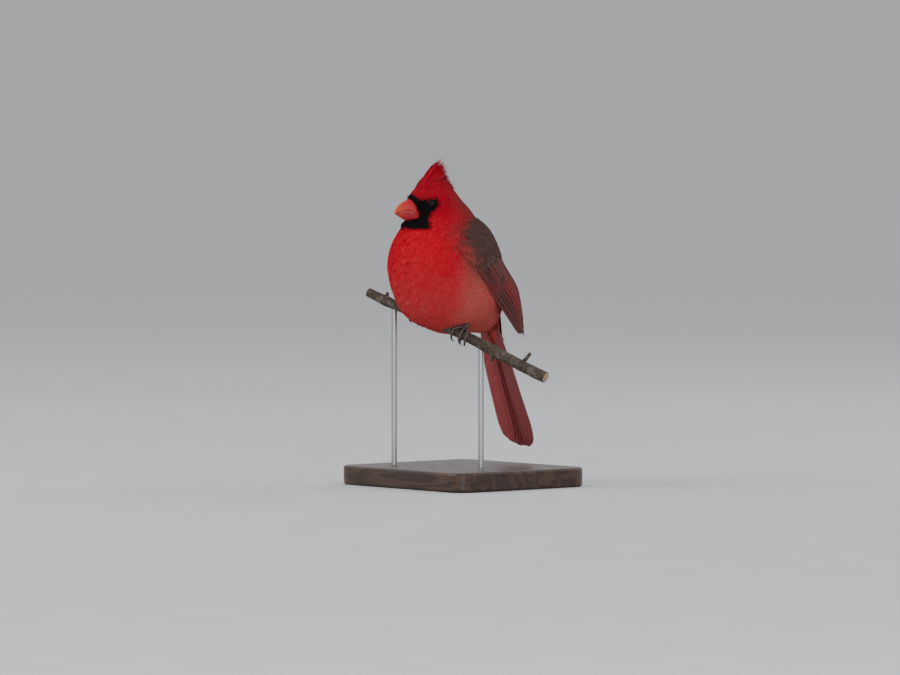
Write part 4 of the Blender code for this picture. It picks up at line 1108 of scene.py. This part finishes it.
def vane_material(name, inner, red, brown, mantle_colour, edge_from, edge_to, shaft_light, rim):
    """Flight feathers: a dark inner vane, a coloured outer edge, fine barbs across and a shaft.
    tint holds the edge's redness, whether a point is on the shaft, and the mantle colour's share."""
    made = material(name, 0.6, Specular_IOR_Level=0.15)
    n = Nodes(made)
    along, across, own = n.attribute("lay")
    redness, shaft, mantle = n.attribute("tint")
    edge = n.band(across, edge_from, edge_to)
    whole = n.mix(edge, inner, n.mix(redness, brown, red))
    whole = n.mix(n.band(along, 0.90, 1.0, 0.0, 0.6), whole, brown)
    whole = n.mix(mantle, whole, mantle_colour)
    whole = n.mix(n.band(across, 0.90, 0.98, 0.0, rim), whole, (0.40, 0.15, 0.14))
    whole = n.mix(n.math("MULTIPLY", shaft, shaft_light), whole, (0.30, 0.13, 0.11))
    aside = n.math("ABSOLUTE", n.math("SUBTRACT", across, 0.5))
    wave = n.math("SINE", n.math("MULTIPLY", n.math("SUBTRACT", along, n.math("MULTIPLY", aside, 0.12)), 700.0))
    shade = n.math("MULTIPLY", n.math("ADD", n.math("MULTIPLY", own, 0.22), 0.88), n.band(wave, -1.0, 1.0, 0.94, 1.04))
    clouds = n.noise(n.place((1, 1, 1)), 500.0, 2.0)
    shade = n.math("MULTIPLY", shade, n.band(clouds, 0.3, 0.7, 0.88, 1.10))
    grey = n.add("ShaderNodeCombineColor", Red=shade, Green=shade, Blue=shade).outputs[0]
    n.colour(n.mix(1.0, whole, grey, "MULTIPLY"))
    n.bump(wave, 0.10, 0.0002)
    return made


# Bill

CULMEN = [(0.0110, 0.0062), (0.0180, 0.0050), (0.0232, 0.0026), (0.0265, -0.0006), (0.0287, -0.0050)]
CUTTING_EDGE = [(0.0100, -0.0098), (0.0140, -0.0062), (0.0185, -0.0031), (0.0240, -0.0036), (0.0284, -0.0050)]
GONYS = [(0.0100, -0.0112), (0.0160, -0.0110), (0.0212, -0.0092), (0.0250, -0.0070), (0.0276, -0.0052)]
BILL_BASE = 0.0140
BILL_GAP = 0.00008


def height_on(line, forward):
    fine = through(line, 120)
    return np.interp(forward, fine[:, 0], fine[:, 1])


def bill_half(name, upper, finish, rows=44, sides=30):
    """One half of the bill. lay holds the place along and from cutting edge to ridge; its third number is always 0."""
    profile, half_base, outward = (CULMEN, 0.0053, 1) if upper else (GONYS, 0.0060, -1)
    tip = profile[-1][0]
    stations = 0.0108 + (tip - 0.0109) * np.linspace(0, 1, rows) ** 0.8
    angles = np.linspace(0, math.pi, sides)
    rings, lay = [], []
    for forward in stations:
        share = min(1.0, (tip - forward) / (tip - BILL_BASE))
        half = half_base * share**0.62
        rim = height_on(CUTTING_EDGE, forward) + outward * BILL_GAP / 2
        far = height_on(profile, forward)
        side = half * np.sign(np.cos(angles)) * np.abs(np.cos(angles)) ** 0.8
        ridge = np.sin(angles) ** 0.9
        up = rim + (far - rim) * ridge
        if upper:
            place = ((forward - 0.0178) / 0.0013) ** 2 + ((up - 0.0034) / 0.0008) ** 2
            side = side * (1 - 0.22 * np.exp(-place * 1.2))
        ring = np.stack([side, np.full(sides, -forward), up], axis=1)
        rings.append(HEAD_CENTRE + ring @ HEAD_TURN.T)
        lay.append(np.stack([np.full(sides, (forward - BILL_BASE) / (tip - BILL_BASE)), ridge, ridge * 0], axis=1))
    ends = in_head(0, 0.0108, float(np.mean([CUTTING_EDGE[0][1], profile[0][1]]))), in_head(0, tip, profile[-1][1])
    points = np.vstack([ends[0], np.vstack(rings), ends[1]])
    lays = np.vstack([[0, 0.5, 0], np.vstack(lay), [1, 0.5, 0]])
    faces = np.array(tube_faces(rows, sides))
    if not upper:
        faces = faces[:, ::-1]
    made = mesh_object(name, points, faces, finish, {"lay": lays})
    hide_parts(name.replace("horn", "bill"))
    return made


def bill_material(name, base, tip, edge):
    """Coral horn, more orange at the tip, with a thin line along the cutting edge (on the upper half darker, a painted
    shadow of the gape; on the lower half pale) and faint growth lines.
    """
    made = material(name, 0.38, Specular_IOR_Level=0.25, Subsurface_Weight=0.12, Subsurface_Scale=0.002)
    n = Nodes(made)
    along, up, _ = n.attribute("lay")
    whole = n.mix(n.band(along, 0.35, 0.95), base, tip)
    # The edge colour along the cutting edge: painted shadow of the gape on the upper half, a pale line on the lower
    # half.
    whole = n.mix(n.band(up, 0.04, 0.14, 1.0, 0.0), whole, edge)
    clouds = n.noise(n.place((1, 1, 1)), 420.0, 3.0)
    whole = n.mix(n.band(clouds, 0.40, 0.75, 0.0, 0.35), whole, tuple(c * 0.62 for c in base))
    n.colour(whole)
    fine = n.noise(n.place((1, 3, 1)), 1500.0, 2.0)
    n.bump(fine, 0.12, 0.0002)
    n.rough(n.band(clouds, 0.3, 0.7, 0.30, 0.46))
    return made


# Eyes

def build_eyes(glossy, lid):
    for side, centre, look in EYES:
        name = "left" if side > 0 else "right"
        bpy.ops.mesh.primitive_uv_sphere_add(segments=48, ring_count=32, radius=EYE_RADIUS, location=(0, 0, 0))
        ball = bpy.context.object
        ball.name = ball.data.name = f"eyeball_{name}"
        turn = Vector(look).to_track_quat("Z", "Y").to_matrix().to_4x4()
        ball.data.transform(turn)
        ball.data.transform(Matrix.Translation(Vector(centre + PERCH_MID)))
        ball.data.shade_smooth()
        ball.data.materials.append(glossy)
        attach(ball, "root")
        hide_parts(f"eye_{name}")
        lids = lid_ring(side, centre, look)
        mesh_object(f"lids_{name}", lids[0], lids[1], lid)


def lid_ring(side, centre, look):
    """The bare rim of the lids, drawn out a little before and behind the eye."""
    ahead = HEAD_TURN @ np.array([0, -1, -0.12])
    ahead = unit(ahead - look * (ahead @ look))
    up = np.cross(look, ahead) * side
    turns = 2 * np.pi * np.arange(48) / 48
    points, sides = [], 8
    for a in turns:
        long, high = 0.0023 + 0.0004 * abs(math.cos(a)) ** 6, 0.0022
        out = math.sqrt(max(EYE_RADIUS**2 - (0.0023 * math.cos(a)) ** 2 - (high * math.sin(a)) ** 2, 0))
        middle = centre + look * (out + 0.00005) + ahead * long * math.cos(a) + up * high * math.sin(a)
        way = unit(ahead * math.cos(a) + up * math.sin(a))
        spin = 2 * np.pi * np.arange(sides) / sides
        thick = 0.00018 * (1 + 0.12 * math.sin(9 * a))
        points.append(middle + thick * (np.cos(spin)[:, None] * way * 1.3 + np.sin(spin)[:, None] * look))
    faces = []
    for r in range(48):
        a, b = r * sides, (r + 1) % 48 * sides
        for j in range(sides):
            k = (j + 1) % sides
            faces += [(a + j, a + k, b + k), (a + j, b + k, b + j)]
    return np.vstack(points), faces


# Legs, toes and claws

PERCH_ALONG = unit(turn_about_z(PERCH_TURN) @ [1, 0, -PERCH_FALL])
FEET = [("left", FOOT_SHIFT + FOOT_SPREAD / 2), ("right", FOOT_SHIFT - FOOT_SPREAD / 2)]
TOES = [
    ("1", -0.0026, 82.0, 205.0, 0.0068),
    ("2", -0.0056, 98.0, -34.0, 0.0052),
    ("3", 0.0008, 96.0, -58.0, 0.0058),
    ("4", 0.0056, 98.0, -40.0, 0.0050),
]
TOE_RADIUS = 0.00105
TOE_PADS = [1.25, 1.00, 1.10, 0.92, 1.05, 0.88, 0.80]
CLAW_RADII = [0.00075, 0.00070, 0.00052, 0.00034, 0.00012]
CLAW_TURN = 62.0


def perch_point(distance):
    bend = 0.0016 * (math.sin(distance / 0.021 + 0.6) - math.sin(0.6))
    return PERCH_ALONG * distance + np.array([0.0, 0.4 * bend, 0.5 * bend])


def foot_frame(distance):
    up = unit(np.array([0, 0, 1]) - PERCH_ALONG * PERCH_ALONG[2])
    return perch_point(distance), PERCH_ALONG, up, np.cross(PERCH_ALONG, up)


def toe_point(distance, toe, share):
    _, splay, start, end, _ = toe
    middle, along, up, front = foot_frame(distance)
    angle = math.radians(start + (end - start) * share)
    spread = splay * min(1.0, share * 1.8) ** 0.8
    out = PERCH_RADIUS + TOE_RADIUS + GAP + 0.0003 + 0.0011 * max(0.0, share - 0.45)
    return middle + along * spread + out * (front * math.cos(angle) + up * math.sin(angle))


def claw_line(distance, toe, count):
    line = np.array([toe_point(distance, toe, share) for share in (5 / 6, 1)])
    ahead = unit(line[-1] - line[-2])
    inward = unit(foot_frame(distance)[0] - line[-1])
    inward = unit(inward - ahead * (inward @ ahead))
    turn = math.radians(CLAW_TURN)
    radius = toe[4] / turn
    angles = np.linspace(0, turn, count)
    return line[-1] + ahead * 0.0001 + radius * (np.sin(angles)[:, None] * ahead + (1 - np.cos(angles))[:, None] * inward)


def scaled_tube(line, radii, up, step, height, sides=18):
    """A tube whose upper side carries a row of overlapping scales, each step metres long."""
    line = np.asarray(line, float)
    along = unit(np.gradient(line, axis=0))
    distance = np.concatenate([[0], np.cumsum(np.linalg.norm(np.diff(line, axis=0), axis=1))])
    spin = 2 * np.pi * np.arange(sides) / sides
    rings, lay = [], []
    for point, way, radius, gone, top in zip(line, along, radii, distance, up):
        top = unit(top - way * (top @ way))
        side = np.cross(way, top)
        wave = gone / step % 1.0
        raised = height * (wave**1.5 - 0.3) * np.clip(np.cos(spin) * 1.6, 0, 1) ** 0.6
        pads = 0.35 * height * np.sin(gone / step * 9.0 + spin * 5) * np.clip(-np.cos(spin), 0, 1)
        r = radius + raised + pads
        rings.append(point + r[:, None] * (np.cos(spin)[:, None] * top + np.sin(spin)[:, None] * side))
        lay.append(np.stack([np.full(sides, wave), np.cos(spin) * 0.5 + 0.5, np.full(sides, gone / step / 10)], axis=1))
    points = np.vstack([line[0], np.vstack(rings), line[-1]])
    lays = np.vstack([lay[0][0], np.vstack(lay), lay[-1][0]])
    return points, np.array(tube_faces(len(line), sides)), lays


def build_legs(skin, horn):
    for label, distance in FEET:
        middle, _, up, front = foot_frame(distance)
        sole = middle + up * (PERCH_RADIUS + 0.0019)
        lean = unit(np.array([-0.12 * np.sign(distance), 0.62, 0.80]))
        shank = sole + lean * np.linspace(-0.0004, 0.019, 90)[:, None]
        radii = np.interp(np.linspace(0, 1, 90), [0, 0.08, 0.25, 0.6, 1], [0.0017, 0.0018, 0.00125, 0.00120, 0.0015])
        parts = [scaled_tube(shank, radii, np.tile(-lean * 0 + front, (90, 1)), 0.0023, 0.00016)]
        for toe in TOES:
            shares = np.linspace(0, 1.0, 80)
            line = np.array([toe_point(distance, toe, share) for share in shares])
            pads = np.interp(shares, np.linspace(0, 1, 7), TOE_PADS)
            radii = TOE_RADIUS * pads
            radii[-4:] *= [0.98, 0.93, 0.84, 0.70]
            parts.append(scaled_tube(line, radii, line - middle, 0.0011, 0.00013))
            claw = claw_line(distance, toe, 26)
            radii = np.interp(np.linspace(0, 1, 26), np.linspace(0, 1, 5), CLAW_RADII)
            radii[0] *= 0.8
            points, faces = tube_parts(claw, radii, 14)
            made = mesh_object(f"talon_{label}_{toe[0]}", points, faces, horn)
            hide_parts(f"claw_{label}_{toe[0]}")
        offset, points, faces, lays = 0, [], [], []
        for p, f, lay in parts:
            points.append(p)
            faces.append(f + offset)
            lays.append(lay)
            offset += len(p)
        made = mesh_object(f"foot_{label}", np.vstack(points), np.vstack(faces), skin, {"lay": np.vstack(lays)})
        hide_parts(f"leg_{label}")


# Branch

TWIG_STUBS = [
    (0.048, (0.5, -0.35, -0.8), 0.009),
    (-0.041, (-0.4, 0.5, 0.75), 0.007),
    (0.073, (0.6, 0.3, 0.75), 0.011),
]
STUB_RADII = [0.0017, 0.0013, 0.0011]


def bark_ring(point, way, side, radius, sides, where):
    """A ring of the branch with low ridges and cracks in its bark."""
    side = unit(side - way * (side @ way))
    third = np.cross(way, side)
    spin = 2 * np.pi * np.arange(sides) / sides
    ridges = 0.5 * np.sin(spin * 7 + 3 * math.sin(where * 190)) + 0.35 * np.sin(spin * 13 - where * 420)
    rings = 0.5 * math.sin(where * 1900) * np.sin(spin * 3 + where * 160)
    r = radius + 0.00010 * ridges + 0.00005 * rings
    return point + r[:, None] * (np.cos(spin)[:, None] * side + np.sin(spin)[:, None] * third), side


def build_perch(bark, cut_wood):
    random = np.random.default_rng(7)
    stations = np.linspace(PERCH_LEFT, PERCH_RIGHT, 21)
    radii = []
    for distance in stations:
        near_foot = abs(abs(distance - FOOT_SHIFT) - FOOT_SPREAD / 2) < 0.008
        uneven = random.uniform(-0.03, 0.03) + 1.4 * distance
        for place, _, _ in TWIG_STUBS[:2]:
            uneven += 0.14 * math.exp(-(((distance - place) / 0.004) ** 2))
        radii.append(PERCH_RADIUS * (1 if near_foot else 1 + uneven))
    fine = np.linspace(PERCH_LEFT, PERCH_RIGHT, 320)
    lines = [(np.array([perch_point(d) for d in fine]), np.interp(fine, stations, radii), 48, fine)]
    for distance, way, length in TWIG_STUBS:
        share = np.linspace(0, 1, 40)
        root = perch_point(distance)
        line = root + unit(way) * length * share[:, None]
        lines.append((line, np.interp(share, [0, 0.6, 1], STUB_RADII), 24, distance + share * length))
    offset, points, faces = 0, [], []
    for line, sizes, sides, where in lines:
        along = unit(np.gradient(line, axis=0))
        side = unit(np.cross(along[0], [0.13, 0.91, 0.39]))
        rings = []
        for point, way, size, at in zip(line, along, sizes, where):
            ring, side = bark_ring(point, way, side, size, sides, at)
            rings.append(ring)
        piece = np.vstack([line[0], np.vstack(rings), line[-1]])
        points.append(piece)
        faces.append(np.array(tube_faces(len(line), sides)) + offset)
        offset += len(piece)
    made = mesh_object("branch", np.vstack(points), np.vstack(faces), bark)
    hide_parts("perch")
    discs = []
    for end, way in ((0, -1), (1, 1)):
        line, sizes, _, _ = lines[0]
        centre, ahead = (line[0], unit(line[0] - line[1])) if end == 0 else (line[-1], unit(line[-1] - line[-2]))
        size = (sizes[0] if end == 0 else sizes[-1]) - 0.00035
        disc = tube_parts([centre - ahead * 0.0004, centre + ahead * 0.00015], [size, size], 40)
        discs.append(disc)
    points = np.vstack([discs[0][0], discs[1][0]])
    faces = np.vstack([np.array(discs[0][1]), np.array(discs[1][1]) + len(discs[0][0])])
    mesh_object("cut_ends", points, faces, cut_wood, smooth=False)


def bark_material(name):
    made = material(name, 0.85, Specular_IOR_Level=0.2)
    n = Nodes(made)
    where = n.place((1, 1, 1))
    long = n.noise(n.place((0.35, 1.6, 1.6)), 700.0, 5.0, 0.65)
    patches = n.noise(where, 160.0, 3.0)
    whole = n.mix(n.band(long, 0.35, 0.65), (0.030, 0.021, 0.016), (0.115, 0.086, 0.066))
    whole = n.mix(n.band(patches, 0.52, 0.66, 0.0, 0.5), whole, (0.16, 0.145, 0.12))
    n.colour(whole)
    n.bump(long, 0.55, 0.0006)
    return made


def plain_noise_material(name, low, high, scale, rough, stretch=(1, 1, 1), bump=0.1, gloss=0.5):
    made = material(name, rough, Specular_IOR_Level=gloss)
    n = Nodes(made)
    grain = n.noise(n.place(stretch), scale, 4.0, 0.6)
    n.colour(n.mix(n.band(grain, 0.3, 0.7), low, high))
    n.bump(grain, bump, 0.0002)
    return made


# Stand, floor, light and camera

def wood_material(name):
    made = material(name, 0.38, Specular_IOR_Level=0.45, Coat_Weight=0.15, Coat_Roughness=0.25)
    n = Nodes(made)
    where = n.place((6.0, 40.0, 40.0))
    bends = n.noise(where, 1.4, 3.0, 0.55)
    rings = n.math("SINE", n.math("MULTIPLY", bends, 42.0))
    pores = n.noise(n.place((40.0, 900.0, 900.0)), 1.0, 2.0, 0.5)
    whole = n.mix(n.band(rings, -1.0, 1.0), (0.030, 0.0135, 0.0070), (0.062, 0.030, 0.0155))
    whole = n.mix(n.band(pores, 0.58, 0.72, 0.0, 0.7), whole, (0.014, 0.007, 0.004))
    n.colour(whole)
    n.bump(pores, 0.12, 0.0003)
    n.rough(n.band(pores, 0.4, 0.7, 0.34, 0.50))
    return made


def steel_material(name):
    made = material(name, 0.32, Metallic=1.0)
    n = Nodes(made)
    lines = n.noise(n.place((1, 1, 220)), 60.0, 3.0, 0.6)
    n.colour(n.mix(n.band(lines, 0.3, 0.7), (0.40, 0.40, 0.41), (0.56, 0.56, 0.57)))
    n.rough(n.band(lines, 0.3, 0.7, 0.26, 0.40))
    n.bump(lines, 0.04, 0.0001)
    return made


def dress_stand():
    wood, steel = wood_material("walnut"), steel_material("brushed_steel")
    for name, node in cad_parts.items():
        if name.startswith("stand_"):
            node.data.materials.clear()
            node.data.materials.append(wood if name == "stand_base" else steel)


VIEW_TURN, VIEW_RISE, VIEW_DISTANCE = 50.0, 2.0, 3.42
SKY_LOW, SKY_HIGH = (0.45, 0.455, 0.465), (0.78, 0.80, 0.83)


def build_stage():
    bpy.ops.mesh.primitive_plane_add(size=60, location=(0, 0, -0.0002))
    floor = bpy.context.object
    floor.name = "floor"
    made = material("floor_pale", 0.9, Specular_IOR_Level=0.15)
    n = Nodes(made)
    speckle = n.noise(n.place((1, 1, 1)), 30.0, 3.0)
    n.colour(n.mix(n.band(speckle, 0.3, 0.7), (0.56, 0.565, 0.57), (0.585, 0.59, 0.595)))
    floor.data.materials.append(made)
    world = bpy.data.worlds.new("studio")
    bpy.context.scene.world = world
    world.use_nodes = True
    tree = world.node_tree
    where = tree.nodes.new("ShaderNodeTexCoord")
    split = tree.nodes.new("ShaderNodeSeparateXYZ")
    rise = tree.nodes.new("ShaderNodeMapRange")
    shades = tree.nodes.new("ShaderNodeMix")
    shades.data_type = "RGBA"
    shades.inputs[6].default_value = (*SKY_LOW, 1)
    shades.inputs[7].default_value = (*SKY_HIGH, 1)
    rise.inputs[1].default_value, rise.inputs[2].default_value = 0.04, 0.35
    tree.links.new(where.outputs["Generated"], split.inputs[0])
    tree.links.new(split.outputs[2], rise.inputs[0])
    tree.links.new(rise.outputs[0], shades.inputs[0])
    tree.links.new(shades.outputs[2], tree.nodes["Background"].inputs[0])
    for name, place, size, power in (
        ("key", (-0.9, -1.5, 1.7), 1.1, 24.0),
        ("fill", (1.5, -1.1, 0.3), 1.4, 13.0),
        ("back", (0.3, 1.6, 1.4), 1.0, 12.0),
    ):
        data = bpy.data.lights.new(name, "AREA")
        data.shape, data.size, data.energy = "DISK", size * 1.12, power
        lamp = bpy.data.objects.new(name, data)
        lamp.location = place
        aim = Vector((0, 0, 0.14)) - lamp.location
        lamp.rotation_euler = aim.to_track_quat("-Z", "Y").to_euler()
        bpy.context.scene.collection.objects.link(lamp)


def build_camera():
    a, e = math.radians(VIEW_TURN), math.radians(VIEW_RISE)
    back = Vector((math.sin(a) * math.cos(e), -math.cos(a) * math.cos(e), math.sin(e)))
    right = Vector((math.cos(a), math.sin(a), 0))
    target = Vector(PERCH_MID) + right * 0.0103 + Vector((0, 0, -0.0106))
    data = bpy.data.cameras.new("camera")
    data.lens, data.sensor_width, data.clip_end = 200.0, 36.0, 100.0
    camera = bpy.data.objects.new("camera", data)
    camera.location = target + back * VIEW_DISTANCE
    camera.rotation_euler = (-back).to_track_quat("-Z", "Y").to_euler()
    bpy.context.scene.collection.objects.link(camera)
    bpy.context.scene.camera = camera


def main():
    red = plumage_material("plumage_red")
    build_skin(red)
    build_coat(red, 10600, np.random.default_rng(31))
    build_crest(red, 320, np.random.default_rng(32))
    build_crest_skirt(red, 640, np.random.default_rng(34))
    build_bristles(red, 420, np.random.default_rng(35))
    wing = vane_material("wing_vanes", (0.034, 0.015, 0.013), (0.190, 0.013, 0.015), (0.090, 0.042, 0.034),
                         (0.070, 0.036, 0.030), 0.50, 0.72, 0.15, 0.0)
    random = np.random.default_rng(33)
    for side, label in ((1, "left"), (-1, "right")):
        made = vane_group(f"feathers_{label}", wing_specs(side, random), wing)
        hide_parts(f"wing_{label}")
    tail = vane_material("tail_vanes", (0.300, 0.055, 0.060), (0.360, 0.070, 0.075), (0.30, 0.080, 0.075),
                         (0.240, 0.055, 0.055), 0.45, 0.55, 0.9, 0.75)
    made = vane_group("tail_feathers", tail_specs(random), tail)
    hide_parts("tail")
    build_tail_coverts(red, random)
    # The upper half's edge colour, darker than its horn, is painted shadow in the gape.
    upper = bill_material("bill_upper_horn", (0.56, 0.018, 0.022), (0.62, 0.070, 0.014), (0.40, 0.030, 0.030))
    lower = bill_material("bill_lower_horn", (0.42, 0.014, 0.034), (0.50, 0.040, 0.020), (0.50, 0.10, 0.09))
    bill_half("horn_upper", True, upper)
    bill_half("horn_lower", False, lower)
    glossy = material("eye_glossy", 0.06, Specular_IOR_Level=0.14)
    n = Nodes(glossy)
    n.colour(n.mix(n.band(n.noise(n.place((1, 1, 1)), 300.0), 0.4, 0.6), (0.005, 0.003, 0.0025), (0.010, 0.005, 0.004)))
    lid = plain_noise_material("lid_skin", (0.004, 0.003, 0.003), (0.009, 0.007, 0.007), 900.0, 0.85, gloss=0.1)
    build_eyes(glossy, lid)
    skin = plain_noise_material("leg_scales", (0.050, 0.030, 0.028), (0.095, 0.055, 0.050), 700.0, 0.48, bump=0.2)
    horn = plain_noise_material("claw_horn", (0.016, 0.012, 0.012), (0.040, 0.030, 0.028), 600.0, 0.35)
    build_legs(skin, horn)
    cut_wood = plain_noise_material("cut_wood", (0.28, 0.19, 0.11), (0.42, 0.31, 0.20), 700.0, 0.8, bump=0.2)
    build_perch(bark_material("branch_bark"), cut_wood)
    dress_stand()
    build_stage()
    build_camera()


main()
bpy.context.view_layer.update()
